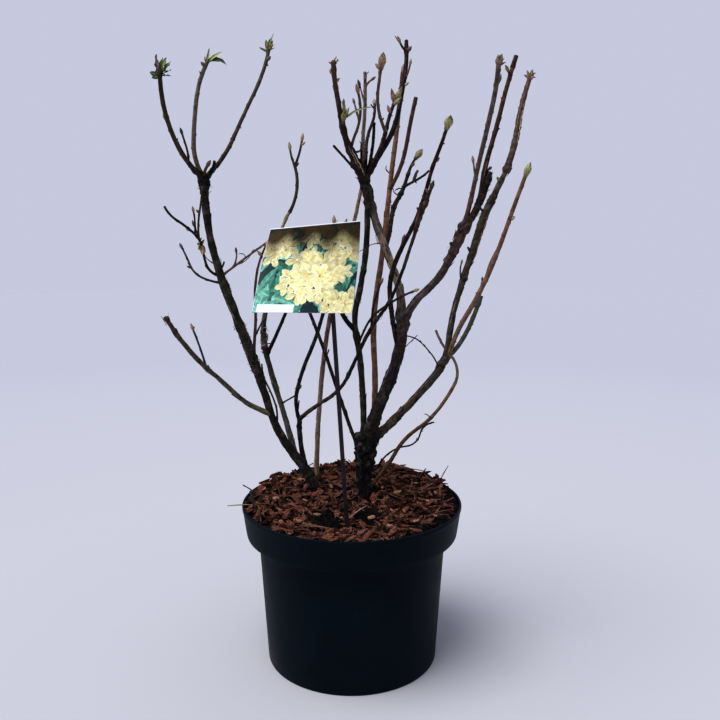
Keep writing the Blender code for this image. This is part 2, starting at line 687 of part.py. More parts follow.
OLD_BARK = (0.036, 0.027, 0.021)
OLIVE_BARK = (0.070, 0.058, 0.036)
GREY_BARK = (0.085, 0.070, 0.058)
RED_BARK = (0.155, 0.062, 0.040)
BARK_OF = {
    "low_right_bough": OLIVE_BARK,
    "left_low_bough": OLIVE_BARK,
    "middle_bough": GREY_BARK,
    "inner_stem": GREY_BARK,
    "left_back_stem": RED_BARK,
    "back_stem": RED_BARK,
    "arching_stem": RED_BARK,
}


def make_boughs():
    """Each bough, cut 0.3 mm clear of those made before it."""
    made = []
    for name in BOUGHS:
        surface = material(name + " bark", BARK_OF.get(name, OLD_BARK), 0.85)
        bough = finish(skin_of(name), name, surface)
        boolean(bough, [grown_limb(other) for other in made if near(name, other)], "DIFFERENCE")
        tidy(bough)
        made.append(name)


# Masses of twigs

def distance_to_limb(point, name):
    """Distance from a point to the skin of a limb."""
    points = path_of(name)
    nearest = min(range(len(points)), key=lambda k: (points[k] - point).length)
    return (points[nearest] - point).length - radius_on(name, nearest / PATH_STEPS)


def in_crown(point):
    return math.hypot(point.x, point.y) < CROWN_RADIUS and point.z < CROWN_TOP


def frame_at(name, share):
    """The way the limb runs at a share of its length, and two directions square to it."""
    points = path_of(name)
    low = min(int(share * PATH_STEPS), PATH_STEPS - 1)
    along = (points[low + 1] - points[low]).normalized()
    across = along.cross(Vector((0, 1, 0))).normalized()
    return along, across, across.cross(along)


def bud_mesh(foot, along, length, width):
    """A pointed bud on the end of a twig."""
    points = [foot + along * length * share for share, _ in BUD_PROFILE]
    return tube_mesh(points, [width * wide for _, wide in BUD_PROFILE], SHOOT_SIDES)


def spur_mesh(root, end, along, size):
    """A side twig that swells into its bud."""
    swell = BUD_PROFILE[2:]
    points = [root, root.lerp(end, 0.5), end] + [end + along * BUD_LENGTH * size * share for share, _ in swell]
    radii = [SPUR_THICKNESS / 2 * taper for taper in SPUR_TAPER]
    return tube_mesh(points, radii + [BUD_WIDTH * size * wide for _, wide in swell], TWIG_SIDES)


def leaf_mesh(foot, along, across):
    """A young leaf: a thin blade, widest past its middle."""
    mesh = bmesh.new()
    out = along.cross(across).normalized()
    middle = foot + along * LEAF_LENGTH * LEAF_MIDDLE
    root = mesh.verts.new(foot - along * LEAF_LENGTH * LEAF_ROOT)
    tip = mesh.verts.new(foot + along * LEAF_LENGTH)
    left = mesh.verts.new(middle - across * LEAF_WIDTH / 2)
    right = mesh.verts.new(middle + across * LEAF_WIDTH / 2)
    for way in (out, -out):
        ridge = mesh.verts.new(middle + way * LEAF_THICKNESS / 2)
        for pair in ((root, left), (left, tip), (tip, right), (right, root)):
            mesh.faces.new((*pair, ridge))
    return mesh


def spurs_of(name, taken, dice):
    """Short side twigs on the back of a shoot, each with its bud, where there is room for them."""
    pieces = []
    limb = LIMBS[name]
    count = int(limb.length * MM / SPUR_SPACING)
    turn = dice.uniform(0, 360)
    for k in range(1, count):
        turn += TURN_BETWEEN_SPURS
        if dice.random() > SPUR_CHANCE:
            continue
        share = (k + dice.uniform(-0.2, 0.2)) / count
        along, across, other = frame_at(name, share)
        lean = math.radians(dice.uniform(*SPUR_LEAN))
        around = math.radians(turn)
        outward = across * math.cos(around) + other * math.sin(around)
        way = (along * math.cos(lean) + outward * math.sin(lean)).normalized()
        root = point_on(name, share)
        length = dice.uniform(*SPUR_LENGTH) + radius_on(name, share)
        end = root + way * length
        tip = end + way * BUD_LENGTH
        beside = [root.lerp(tip, s) for s in SPUR_CHECKS]
        others = [other for other in LIMBS if other != name]
        clear = all(distance_to_limb(p, other) > SPUR_CLEARANCE for p in beside for other in others)
        apart = all((p - q).length > 2 * SPUR_CLEARANCE for p in beside for q in taken)
        if outward.y < SPUR_TO_BACK or not (clear and apart and in_crown(tip)):
            continue
        taken += beside
        pieces.append(spur_mesh(root, end, way, dice.uniform(*SPUR_BUD)))
    return pieces


def leaves_of(name, dice):
    """The young leaves that spread from a shoot's tip."""
    pieces = []
    along, across, other = frame_at(name, 1.0)
    tip = point_on(name, 1.0)
    count = LEAVES_AT_TIP.get(name, 0)
    for k in range(count):
        around = 2 * math.pi * (k + dice.random() * 0.5) / count
        outward = across * math.cos(around) + other * math.sin(around)
        spread = math.radians(LEAF_SPREAD)
        way = (along * math.cos(spread) + outward * math.sin(spread)).normalized()
        pieces.append(leaf_mesh(tip, way, way.cross(outward).normalized()))
    return pieces


def make_masses():
    """Each mass is one solid, cut 0.3 mm clear of the boughs beside it."""
    taken = []
    for order, (mass, shoots) in enumerate(MASSES.items()):
        dice = random.Random(SEED + order)
        pieces = []
        for name in shoots:
            pieces.append(skin_of(name))
            along, _, _ = frame_at(name, 1.0)
            if name not in BLUNT_TIPS:
                length, width = BIG_BUDS.get(name, (BUD_LENGTH / MM, BUD_WIDTH / MM))
                pieces.append(bud_mesh(point_on(name, 1.0), along, length * MM, width * MM))
            if name not in BARE_SHOOTS:
                pieces += spurs_of(name, taken, dice)
            pieces += leaves_of(name, dice)
        surface = material(mass + " bark", (0.075, 0.050, 0.034), 0.8)
        solids = [finish(piece, mass, surface) for piece in pieces]
        boolean(solids[0], solids[1:], "UNION")
        cutters = [grown_limb(other) for other in BOUGHS if any(near(name, other) for name in shoots)]
        boolean(solids[0], cutters, "DIFFERENCE")
        solids[0].name = mass
        tidy(solids[0])


def main():
    for old in list(bpy.data.objects):
        bpy.data.objects.remove(old)
    make_pot()
    make_potting_mix()
    make_card()
    finish(stake_mesh(0.0), "label_stake", material("dark stake plastic", (0.020, 0.018, 0.020), 0.5))
    make_boughs()
    make_masses()
    feet = [name for name, limb in LIMBS.items() if limb.parent == "ground"]
    stems = [grown_limb(name, 2 * GAP) for name in feet]
    make_mulch(stems + [finish(stake_mesh(2 * GAP), "grown stake", None)])


main()
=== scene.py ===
import json
import math
import random

import bmesh
import bpy
import numpy as np
from mathutils import Matrix, Vector, noise

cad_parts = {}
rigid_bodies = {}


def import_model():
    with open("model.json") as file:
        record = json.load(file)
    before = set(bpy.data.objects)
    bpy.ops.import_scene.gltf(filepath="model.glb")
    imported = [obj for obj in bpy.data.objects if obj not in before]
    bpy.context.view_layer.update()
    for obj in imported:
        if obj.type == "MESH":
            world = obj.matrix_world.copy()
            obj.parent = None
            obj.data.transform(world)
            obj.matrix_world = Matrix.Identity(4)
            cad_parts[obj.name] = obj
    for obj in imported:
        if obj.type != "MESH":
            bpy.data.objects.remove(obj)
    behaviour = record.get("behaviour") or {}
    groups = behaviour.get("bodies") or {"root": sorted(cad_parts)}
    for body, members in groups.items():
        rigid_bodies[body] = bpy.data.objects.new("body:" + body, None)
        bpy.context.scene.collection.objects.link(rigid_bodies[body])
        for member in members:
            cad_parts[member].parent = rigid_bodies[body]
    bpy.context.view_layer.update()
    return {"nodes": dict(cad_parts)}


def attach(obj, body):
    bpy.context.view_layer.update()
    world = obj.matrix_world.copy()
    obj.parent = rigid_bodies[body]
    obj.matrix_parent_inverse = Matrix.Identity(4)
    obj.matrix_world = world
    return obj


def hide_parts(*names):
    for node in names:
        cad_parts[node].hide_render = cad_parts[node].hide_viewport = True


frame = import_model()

# A potted azalea in early spring: bare stems with swelling buds, in a nursery pot with bark mulch.
# Metres, +Z up, the pot's flat underside on the floor at the origin.

mm = 0.001


# Camera, floor and light

view = {
    "place": (0.0105, -0.999, 0.568),
    "lookDown": 9.81,  # degrees below level
    "lens": 40,
}
camera = bpy.data.objects.new("camera", bpy.data.cameras.new("camera"))
bpy.context.scene.collection.objects.link(camera)
camera.data.lens = view["lens"]
camera.data.sensor_width = 36
camera.location = view["place"]
camera.rotation_euler = (math.radians(90 - view["lookDown"]), 0, 0)
bpy.context.scene.camera = camera

studio = {
    "sky": "#d5d8ea",
    "skyStrength": 0.90,
    "gamma": 0.84,  # the firm contrast of the picture
    "exposure": 0.05,
    "floor": "#ababb0",
    "floorFar": "#a3a4ad",  # a shade duller far off, so that its edge doesn't show against the sky
    "floorRadius": 6.0,
    "lights": {  # where the light comes from, strength and how many degrees wide it is
        "overhead": ((-0.30, -0.25, 0.92), 3.0, 40),
        "leftWindow": ((-0.85, -0.30, 0.40), 0.8, 60),
    },
}
bpy.context.scene.view_settings.view_transform = "Standard"
bpy.context.scene.view_settings.gamma = studio["gamma"]
bpy.context.scene.view_settings.exposure = studio["exposure"]


def linear(hexColour, alpha=1.0):  # sRGB hex to the linear colour that a shader takes
    parts = [int(hexColour[k:k + 2], 16) / 255 for k in (1, 3, 5)]
    return tuple(p / 12.92 if p <= 0.04045 else ((p + 0.055) / 1.055) ** 2.4 for p in parts) + (alpha,)


def addNode(tree, kind, settings=None, links=None):  # one node with its settings and what feeds it
    made = tree.nodes.new(kind)
    for key, value in (settings or {}).items():
        if isinstance(key, str) and hasattr(made, key):
            setattr(made, key, value)
        else:
            made.inputs[key].default_value = value
    for key, source in (links or {}).items():
        tree.links.new(source, made.inputs[key])
    return made


def newMaterial(name, settings):  # a Principled material and its tree
    made = bpy.data.materials.new(name)
    made.use_nodes = True
    surface = made.node_tree.nodes["Principled BSDF"]
    for key, value in settings.items():
        surface.inputs[key].default_value = value
    return made, made.node_tree, surface


def ramp(tree, source, stops):  # a colour ramp: (place, hex) stops
    made = addNode(tree, "ShaderNodeValToRGB", links={"Fac": source})
    elements = made.color_ramp.elements
    while len(elements) < len(stops):
        elements.new(0.5)
    for element, (place, colour) in zip(elements, stops):
        element.position = place
        element.color = linear(colour)
    return made.outputs["Color"]


def newObject(name, data):
    made = bpy.data.objects.new(name, data)
    bpy.context.scene.collection.objects.link(made)
    return made


def buildStudio():
    world = bpy.data.worlds.new("studio")
    bpy.context.scene.world = world
    world.use_nodes = True
    backdrop = world.node_tree.nodes["Background"]
    backdrop.inputs["Color"].default_value = linear(studio["sky"])
    backdrop.inputs["Strength"].default_value = studio["skyStrength"]
    for name, (origin, strength, width) in studio["lights"].items():
        lamp = bpy.data.lights.new(name, "SUN")
        lamp.energy = strength
        lamp.angle = math.radians(width)
        made = bpy.data.objects.new(name, lamp)
        made.location = Vector(origin) * 3
        made.rotation_euler = (-Vector(origin)).to_track_quat("-Z", "Y").to_euler()
        bpy.context.scene.collection.objects.link(made)
    shape = bmesh.new()
    bmesh.ops.create_circle(shape, cap_ends=True, segments=96, radius=studio["floorRadius"])
    data = bpy.data.meshes.new("studioFloor")
    shape.to_mesh(data)
    shape.free()
    floor = newObject("studioFloor", data)
    painted, tree, surface = newMaterial("paintedFloor", {"Roughness": 0.9})
    where = addNode(tree, "ShaderNodeTexCoord")
    away = addNode(tree, "ShaderNodeVectorMath", {"operation": "LENGTH"}, {0: where.outputs["Object"]})
    share = addNode(tree, "ShaderNodeMapRange", {"From Min": 0.6, "From Max": 2.4}, {"Value": away.outputs["Value"]})
    shade = ramp(tree, share.outputs["Result"], ((0, studio["floor"]), (1, studio["floorFar"])))
    tree.links.new(shade, surface.inputs["Base Color"])
    data.materials.append(painted)


buildStudio()
print("studio ready")


# Limbs. Each one springs from a share of its parent's length, or from (x, y) mm on the ground, and
# leans to the side and to the back by degrees in even steps, and has its thickness in mm likewise.

ground = 0.1903
pathSteps = 40


def limb(parent, spring, length, side, back, thick, offset=0.0):
    return {"parent": parent, "spring": spring, "length": length * mm, "side": side, "back": back,
            "thick": thick, "offset": offset * mm}


boughs = {
    "left_stem": limb("ground", (-45, 47), 459, (-11, -37, -14, -17, -19, -9, 4),
                      (-10, -12), (14, 12.2, 9.2, 11.6, 10.8, 8.8, 9.2)),
    "trunk": limb("ground", (15, 20), 100, (0, 5), (0,), (19, 20, 27)),
    "main_bough": limb("trunk", 0.95, 175, (11, 22, 16, -4), (-9, -8), (15, 14.5, 14.5), 3),
    "middle_bough": limb("main_bough", 1.0, 173, (7, -18, -23, -18, -11), (-3, -4),
                         (11.2, 9.2, 10.2, 10.7), -2),
    "right_bough": limb("main_bough", 0.98, 142, (20, 47, 23, 21), (-31, -21), (9.8, 9.1, 10.9), 3),
    "low_right_bough": limb("trunk", 0.89, 165, (55, 47, 46, 32), (23, 31), (10.5, 10.4, 10.6)),
    "centre_bough": limb("trunk", 0.88, 338, (8, -2, -4, -11, 14, 7, 1, -6), (2, -19),
                         (8, 7.8, 7.8, 7.2, 6.6), -6),
    "outer_bough": limb("low_right_bough", 0.99, 264, (8, 8, 18, 18, 17, 27, 27), (5, 9),
                        (8.6, 7.8, 10.4, 7.3)),
    "inner_stem": limb("left_stem", 0.17, 343, (-15, -19, -17, 13, 6, 30), (20, 9), (8, 7, 7.6, 4.6, 4)),
    "base_stem": limb("left_stem", 0.13, 64, (-16, 2), (13, 6), (7, 6.4), 3),
    "slender_bough": limb("base_stem", 0.99, 377, (43, 55, 23, 22, 34, 17, 15, 18),
                          (-40, -29, -34), (5.7, 4.6, 4.8, 4, 3.7)),
    "left_low_bough": limb("left_stem", 0.32, 228, (-71, -34, -35, -24, -14), (-43, -46), (6.9, 5.8, 5.4)),
    "left_back_stem": limb("ground", (-50, 79), 439, (-1, 4, 8, 17, 11), (2, 1), (6.9, 6.4, 4.5)),
    "back_stem": limb("ground", (16, 72), 389, (7, 7, -4, 9, 6), (7, 6), (8, 8, 7.6)),
    "arching_stem": limb("ground", (6, 56), 215, (52, 42, 32, 58, 41, 29), (23, 20), (6, 4.8)),
}

# Each mass is the shoots that branch from its first one, the mass's own stem.
masses = {
    "left_crown_twigs": {
        "left_knot": limb("left_stem", 0.98, 14, (4,), (-12,), (8.6, 7)),
        "left_outer_shoot": limb("left_stem", 1.0, 135, (-49, -22, -5, 9), (-37, -34), (6, 5.2, 4.8)),
        "left_middle_shoot": limb("left_stem", 1.0, 141, (-34, 2, 6, 27), (10, 8), (5.6, 5.2, 4.6)),
        "left_inner_shoot": limb("left_stem", 1.0, 202, (44, 19, 23, 9), (36, 25), (5.4, 4.5, 4.5)),
        "left_thin_twig": limb("left_outer_shoot", 0.20, 33, (11, -11, -14), (-20,), (2.8, 2.2)),
        "left_red_stub": limb("left_stem", 1.0, 19, (2, 26, 40), (-42,), (4.4, 3.2)),
        "left_black_stub": limb("left_inner_shoot", 0.04, 19, (52, 8), (-29,), (5, 3.4)),
    },
    "left_upper_twigs": {
        "left_upper_twig": limb("left_stem", 0.74, 130, (-81, -7, 2, -41, -52, -7), (-33, -54),
                                (3.3, 3, 2.8)),
        "left_upper_fork": limb("left_upper_twig", 0.50, 78, (4, 20, 18), (-43,), (2.6, 2)),
        "left_upper_side": limb("left_upper_twig", 0.58, 27, (12, -6), (-19,), (2.2, 2)),
    },
    "left_lower_twigs": {
        "left_lower_twig": limb("left_stem", 0.72, 89, (-85, -70, -31, -33), (64, 34), (3, 2.4)),
    },
    "left_inner_twigs": {
        "left_inner_twig": limb("left_stem", 0.74, 95, (54, 50, 52, 50), (52, 68), (3, 2.6)),
        "left_inner_side": limb("left_inner_twig", 0.21, 21, (37, -9), (18,), (2.2, 2)),
    },
    "card_edge_twigs": {
        "card_edge_shoot": limb("left_stem", 0.48, 152, (0, 5, -3, 10, 28), (6,), (4.4, 3.6, 2.6)),
    },
    "inner_thread_twigs": {
        "inner_thread": limb("left_stem", 0.29, 84, (9, -16, -25, 3), (-9,), (2.6, 2.2), 3),
    },
    "low_left_twigs": {
        "low_left_twig": limb("left_low_bough", 0.55, 49, (-13, -20), (-3,), (2.8, 2.4)),
    },
    "inner_crown_twigs": {
        "inner_top_shoot": limb("inner_stem", 1.0, 69, (30, -19), (9, 7), (4.5, 4.4)),
        "inner_top_left": limb("inner_top_shoot", 0.97, 21, (-24, -6), (-6,), (3.2, 3)),
        "inner_top_right": limb("inner_top_shoot", 0.95, 36, (24, 8), (10,), (3.4, 3)),
    },
    "card_side_twigs": {
        "card_side_shoot": limb("inner_stem", 0.41, 151, (27, 23, 13), (-16, -4), (5, 4.2, 3.8)),
    },
    "base_left_twigs": {
        "base_left_shoot": limb("base_stem", 0.97, 183, (-20, 15, 24, 16, 17), (4, 19), (5, 5.2, 4.6)),
        "base_link_twig": limb("inner_stem", 0.21, 32, (54,), (-50,), (2.2, 2)),
        "base_spur": limb("base_left_shoot", 0.05, 19, (8,), (-12,), (2.2, 1.8)),
    },
    "slender_tip_twigs": {
        "slender_tip": limb("slender_bough", 1.0, 14, (18, 16), (-34,), (3.8, 3.4)),
    },
    "slender_side_twigs": {
        "slender_side_twig": limb("slender_bough", 0.51, 55, (-1, 12, 24), (6,), (2.8, 2.2)),
    },
    "side_stem_twigs": {
        "side_shoot": limb("trunk", 0.64, 243, (-25, -19, -18, -20, -26), (9, 0), (5, 4.6, 4.4)),
    },
    "crossing_twigs": {
        "crossing_shoot": limb("main_bough", 0.73, 305, (-15, -9, -5, 19, 28, 18, 11, 19, 12),
                               (-8, -21, -49), (6, 5.9, 4.6, 3.8)),
    },
    "knotty_twigs": {
        "knotty_shoot": limb("middle_bough", 0.51, 133, (25, 9, 8, 33, 20, 19, 39), (25, 28),
                             (5.4, 5.4, 3)),
        "knotty_fork": limb("knotty_shoot", 0.65, 50, (61, 63, 43), (-65,), (3.4, 2.6)),
        "knotty_stub": limb("knotty_fork", 0.38, 14, (4, 35), (-8,), (3.6, 3.2)),
    },
    "bud_twigs": {
        "bud_twig": limb("centre_bough", 0.40, 122, (22, 23, 49, 56, 63), (-22, -62), (3, 2.6)),
    },
    "centre_fork_twigs": {
        "centre_fork": limb("centre_bough", 0.46, 144, (-54, -14, -5, 0, 0), (-13, 24), (6.4, 5, 3.6)),
        "centre_fork_side": limb("centre_fork", 0.65, 47, (21, 14), (-3,), (3, 2.6)),
    },
    "thread_twigs": {
        "thread_twig": limb("low_right_bough", 0.87, 101, (-20, -37, -43, -75), (-30, -72), (2, 1.6)),
    },
    "outer_side_twigs": {
        "outer_side_twig": limb("outer_bough", 0.39, 28, (-22, 10), (-18,), (2.2, 1.8)),
    },
    "crown_twigs": {
        "crown_knot": limb("middle_bough", 0.98, 22, (-8,), (-4,), (10.5, 9)),
        "crown_left_shoot": limb("middle_bough", 1.0, 148, (-26, -28, -11, -10, -2), (-31, -32),
                                 (9.5, 6.3, 5)),
        "crown_middle_shoot": limb("middle_bough", 1.0, 123, (-7, 5, -3), (-4, -25), (5, 4.4, 3.6)),
        "crown_left_fork": limb("crown_left_shoot", 0.28, 67, (12, 24, 3, -15), (-20,), (3.6, 3)),
        "crown_back_shoot": limb("middle_bough", 1.0, 121, (5, 1, 22, -5), (26, 45), (4.6, 4, 3.2)),
        "crown_right_shoot": limb("middle_bough", 1.0, 104, (29, 26, 12, 23), (11, 22), (6, 5, 3.8)),
        "crown_right_fork": limb("crown_right_shoot", 0.62, 91, (-29, -15, 7, 9), (-43,), (4, 3.4)),
        "crown_top_shoot": limb("middle_bough", 1.0, 197, (29, 33, 12, 10, -1), (22, 28), (7.5, 5.7, 5.2)),
        "crown_left_stub": limb("middle_bough", 1.0, 58, (-44, -44), (-34,), (3.4, 2.8)),
        "crown_front_stub": limb("middle_bough", 1.0, 72, (21, -2), (-29,), (4, 3.4)),
        "crown_bud_stub": limb("crown_left_shoot", 0.49, 10, (8,), (-52,), (5, 4.4)),
        "crown_side_twig": limb("crown_middle_shoot", 0.86, 11, (25, 53), (7,), (2.4, 2)),
        "crown_top_bud": limb("crown_top_shoot", 0.96, 14, (-57, -27), (-32,), (3, 2.6)),
        "crown_top_side": limb("crown_top_shoot", 0.74, 21, (31, 10), (8,), (2.6, 2.2)),
    },
    "right_crown_twigs": {
        "right_knot": limb("right_bough", 0.98, 15, (24,), (-10,), (11, 9)),
        "right_inner_shoot": limb("right_bough", 0.68, 237, (36, 14, 8, 9, 6, -5), (-4, -44),
                                  (6.4, 5.2, 5.3, 5.1), -3),
        "right_outer_shoot": limb("right_bough", 0.99, 199, (42, 7, 17, 14, 18), (8, 10), (6.9, 5.5, 4.9)),
        "right_outer_bud": limb("right_outer_shoot", 0.94, 7, (-41,), (-50,), (3, 2.6)),
        "right_dead_stub": limb("right_bough", 0.99, 72, (36, 24, 16), (10,), (9, 8, 7.8)),
    },
    "far_right_twigs": {
        "far_right_shoot": limb("low_right_bough", 0.99, 261, (10, 29, 20, 16, 18), (-15, -10),
                                (6.4, 6.4, 4.9), 3),
        "far_right_strand": limb("far_right_shoot", 0.45, 48, (7, 21, 34), (0,), (2.6, 2.4)),
        "far_right_stub": limb("low_right_bough", 0.97, 102, (51, 27, 19), (18, 17), (6.3, 6)),
    },
    "outer_crown_twigs": {
        "outer_top_shoot": limb("outer_bough", 1.0, 132, (21, 9, 20), (9, 11), (8.2, 7.2, 5.8)),
    },
    "arching_twigs": {
        "arching_tip": limb("arching_stem", 1.0, 86, (29, -42, -20), (20, 19), (4.2, 3.6)),
    },
    "low_back_twigs": {
        "low_back_twig": limb("ground", (26, 110), 141, (13, 23, 49, 84, 12, 84), (0,), (2.6, 2.3)),
    },
    "back_crown_twigs": {
        "back_top_shoot": limb("back_stem", 1.0, 195, (6, 7, 5), (6, 6), (6.8, 6.6, 5.3)),
        "back_side_shoot": limb("back_top_shoot", 0.19, 126, (32, 9, 12), (-18,), (5.5, 5.3)),
    },
}

bluntTips = {
    "left_knot", "crown_knot", "right_knot", "crown_top_shoot", "crown_left_stub", "crown_front_stub",
    "right_outer_shoot", "right_dead_stub", "far_right_stub", "back_side_shoot", "knotty_fork",
    "card_side_shoot", "side_shoot", "inner_top_shoot", "arching_tip", "left_black_stub",
    "left_middle_shoot", "left_upper_twig", "knotty_stub", "base_spur", "base_link_twig",
    "low_back_twig", "crown_left_shoot", "crown_middle_shoot", "far_right_strand", "inner_thread",
}
bareShoots = {"left_knot", "crown_knot", "right_knot", "crown_left_stub", "knotty_fork", "low_back_twig"}
sourceLeaves = {
    "left_outer_shoot": 4, "left_middle_shoot": 3, "left_inner_shoot": 3, "crown_bud_stub": 1,
    "right_inner_shoot": 2,
}

# Length and width in mm of the tip buds that have swollen most
bigBuds = {
    "crossing_shoot": (15, 9), "crown_right_fork": (17, 8.5), "crown_bud_stub": (14, 6),
    "knotty_shoot": (14, 8), "far_right_shoot": (16, 8),
}

limbs = dict(boughs)
for shoots in masses.values():
    limbs.update(shoots)


def curl(parent, spring, length, side, back, thick):  # a fine twig, which may run level or hang
    made = limb(parent, spring, length, side, (back,), thick)
    made["mayHang"] = True
    return made


fineTwigs = {  # twigs, stubs and torn fibres too fine for the solids
    "stemKnob": curl("left_stem", 0.688, 20, (14, -12), -25, (4.5, 5.0, 2.6)),
    "stemStub": curl("left_stem", 0.755, 15, (48, 20), -25, (3, 2.2)),
    "paleStrand": curl("left_stem", 0.770, 37, (-66, -36, -18), -15, (1.6, 1.0)),
    "innerStrand": curl("left_inner_twig", 0.30, 26, (80, 52, 30), -8, (1.4, 0.9)),
    "innerCurl": curl("left_inner_twig", 0.48, 12, (10, -60, -120), -10, (1.3, 0.8)),
    "innerHook": curl("left_inner_twig", 0.62, 11, (0, 70, 150), -15, (1.3, 0.8)),
    "tangleLeft": curl("inner_stem", 0.43, 17, (-80, -30, 40, 90), -30, (2.4, 1.2)),
    "tangleRight": curl("inner_stem", 0.47, 19, (70, 20, -60), -30, (2.2, 1.2)),
    "tangleTop": curl("inner_stem", 0.50, 15, (-40, 30, 110), -20, (1.4, 0.8)),
    "tangleBack": curl("inner_stem", 0.455, 16, (60, 100, 40), 20, (1.4, 0.8)),
    "backFibre": curl("back_stem", 0.905, 41, (-80, -104, -128, -100), 10, (1.6, 1.3, 0.9)),
    "backFibreSide": curl("back_stem", 0.90, 24, (-88, -20, 12), 0, (1.3, 0.8)),
    "rightNeedle": curl("main_bough", 0.72, 34, (46, 42), -12, (1.4, 0.9)),
    "knottyCurl": curl("knotty_shoot", 0.56, 14, (-100, -50, 0), -15, (1.7, 1.0)),
    "knottyHook": curl("knotty_shoot", 0.62, 12, (-50, -100, -150), -20, (1.6, 1.0)),
    "backHook": curl("back_top_shoot", 0.30, 15, (-74, -45, 36), -10, (2.2, 1.6, 1.0)),
    "outerStubLow": curl("outer_bough", 0.552, 11, (-48, -30), -25, (3.6, 2.8)),
    "outerStubHigh": curl("outer_bough", 0.766, 13, (-70, -18), -20, (3.2, 2.6)),
    "crownRag": curl("crown_left_shoot", 0.97, 8, (58, 16), -10, (2.0, 1.0)),
    "crownBit": curl("crown_left_shoot", 0.90, 6, (-58, -30), -10, (2.4, 1.6)),
    "leftNub": curl("left_low_bough", 0.866, 8, (12, -12), -40, (4.4, 3.6)),
    "threadLoop": curl("thread_twig", 0.07, 17, (50, 120, 210, 290), -20, (1.3, 0.8)),
    "innerTopStub": curl("inner_top_shoot", 0.93, 7, (60, 30), -10, (2.8, 2.2)),
    "deadRag": curl("right_dead_stub", 0.88, 9, (34, -8), -10, (4.4, 2.4)),
    "deadSplinter": curl("right_dead_stub", 0.93, 8, (-16, 6), -10, (3.6, 1.6)),
    "kneeStub": curl("right_bough", 0.811, 9, (-56, -30), -20, (4.6, 3.4)),
    "forkStub": curl("main_bough", 0.95, 10, (70, 40), -20, (4.4, 3.2)),
    "crownStubBack": curl("crown_back_shoot", 0.93, 7, (-60, -30), -10, (2.2, 1.4)),
    "arcHook": curl("arching_stem", 0.72, 12, (-30, -80), -10, (1.6, 1.0)),
    "outerTip": curl("right_outer_shoot", 0.985, 14, (18, 16), 10, (5.0, 5.2)),
    "topTip": curl("crown_top_shoot", 0.98, 12, (0, 2), 27, (4.8, 5.0)),
    "crownStubLeft": curl("crown_left_shoot", 0.05, 13, (-56, -30), -30, (4.0, 2.6)),
    "crownStubFront": curl("crown_left_shoot", 0.12, 19, (50, 8), -34, (4.0, 2.2)),
    "crownStubHigh": curl("crown_left_shoot", 0.26, 13, (70, 96, 20), -20, (3.2, 1.8)),
    "crownStubRight": curl("crown_top_shoot", 0.06, 17, (-40, 4), -30, (4.2, 2.4)),
    "crownStubLow": curl("crown_top_shoot", 0.14, 10, (-70, -20), -20, (3.4, 2.2)),
    "crownThorn": curl("crown_knot", 0.95, 26, (-14, 6), -18, (3.4, 1.4)),
    "leftKnotStub": curl("left_knot", 0.7, 11, (-30, -8), -40, (4.0, 2.8)),
    "rimBit": curl("right_outer_shoot", 0.60, 6, (60, 40), -20, (2.4, 1.8)),
    "sideBit": curl("side_shoot", 0.62, 10, (40, 12), -14, (2.2, 1.4)),
}
paths = {}


def between(values, share):  # the value at a share of the way through evenly spaced values
    place = share * (len(values) - 1)
    low = min(int(place), max(len(values) - 2, 0))
    high = min(low + 1, len(values) - 1)
    return values[low] + (values[high] - values[low]) * (place - low)


def heading(right, back):  # the way for degrees from upright to the right and to the back
    right, back = math.radians(right), math.radians(back)
    return Vector((math.sin(right) * math.cos(back), math.sin(back), math.cos(right) * math.cos(back)))


def stepWay(one, share):
    side, back = between(one["side"], share), between(one["back"], share)
    if "mayHang" in one:
        return heading(side, back)
    return Vector((math.tan(math.radians(side)), math.tan(math.radians(back)), 1)).normalized()


def limbOf(name):
    return limbs[name] if name in limbs else fineTwigs[name]


def pathOf(name):  # the limb's middle line, stepped along its leans from where it springs
    if name not in paths:
        one = limbOf(name)
        if one["parent"] == "ground":
            x, y = one["spring"]
            start = Vector((x * mm, y * mm, ground))
        else:
            start = pointOn(one["parent"], one["spring"]) + Vector((one["offset"], 0, 0))
        points = [start]
        for k in range(pathSteps):
            points.append(points[-1] + stepWay(one, (k + 0.5) / pathSteps) * one["length"] / pathSteps)
        paths[name] = points
    return paths[name]


def pointOn(name, share):
    points = pathOf(name)
    place = min(share, 1.0) * pathSteps
    low = min(int(place), pathSteps - 1)
    return points[low].lerp(points[low + 1], place - low)


rootFlare = {"swell": 0.45, "height": 0.016}


def radiusOn(name, share):
    one = limbOf(name)
    radius = between(one["thick"], min(share, 1.0)) * mm / 2
    if one["parent"] == "ground":
        radius *= 1 + rootFlare["swell"] * math.exp(-one["length"] * share / rootFlare["height"])
    return radius


def wayOn(name, share):  # the way the limb runs there, and two directions square to it
    points = pathOf(name)
    low = min(int(share * pathSteps), pathSteps - 1)
    along = (points[low + 1] - points[low]).normalized()
    across = along.cross(Vector((0, 1, 0))).normalized()
    return along, across, across.cross(along)


# Meshes are gathered in a pile of points and faces before they become one object.

def newPile():
    return {"points": [], "faces": [], "paint": [], "place": [], "way": [], "cover": [], "tint": []}


def addPoint(pile, point, tint=(0.0, 0.0, 0.0), place=(0, 0, 0), way=(0, 0, 1), cover=1.0):
    pile["points"].append(tuple(point))
    pile["tint"].append(tuple(tint))
    pile["place"].append(tuple(place))
    pile["way"].append(tuple(way))
    pile["cover"].append(cover)
    return len(pile["points"]) - 1


def addFace(pile, corners, paint=0):
    pile["faces"].append(tuple(corners))
    pile["paint"].append(paint)


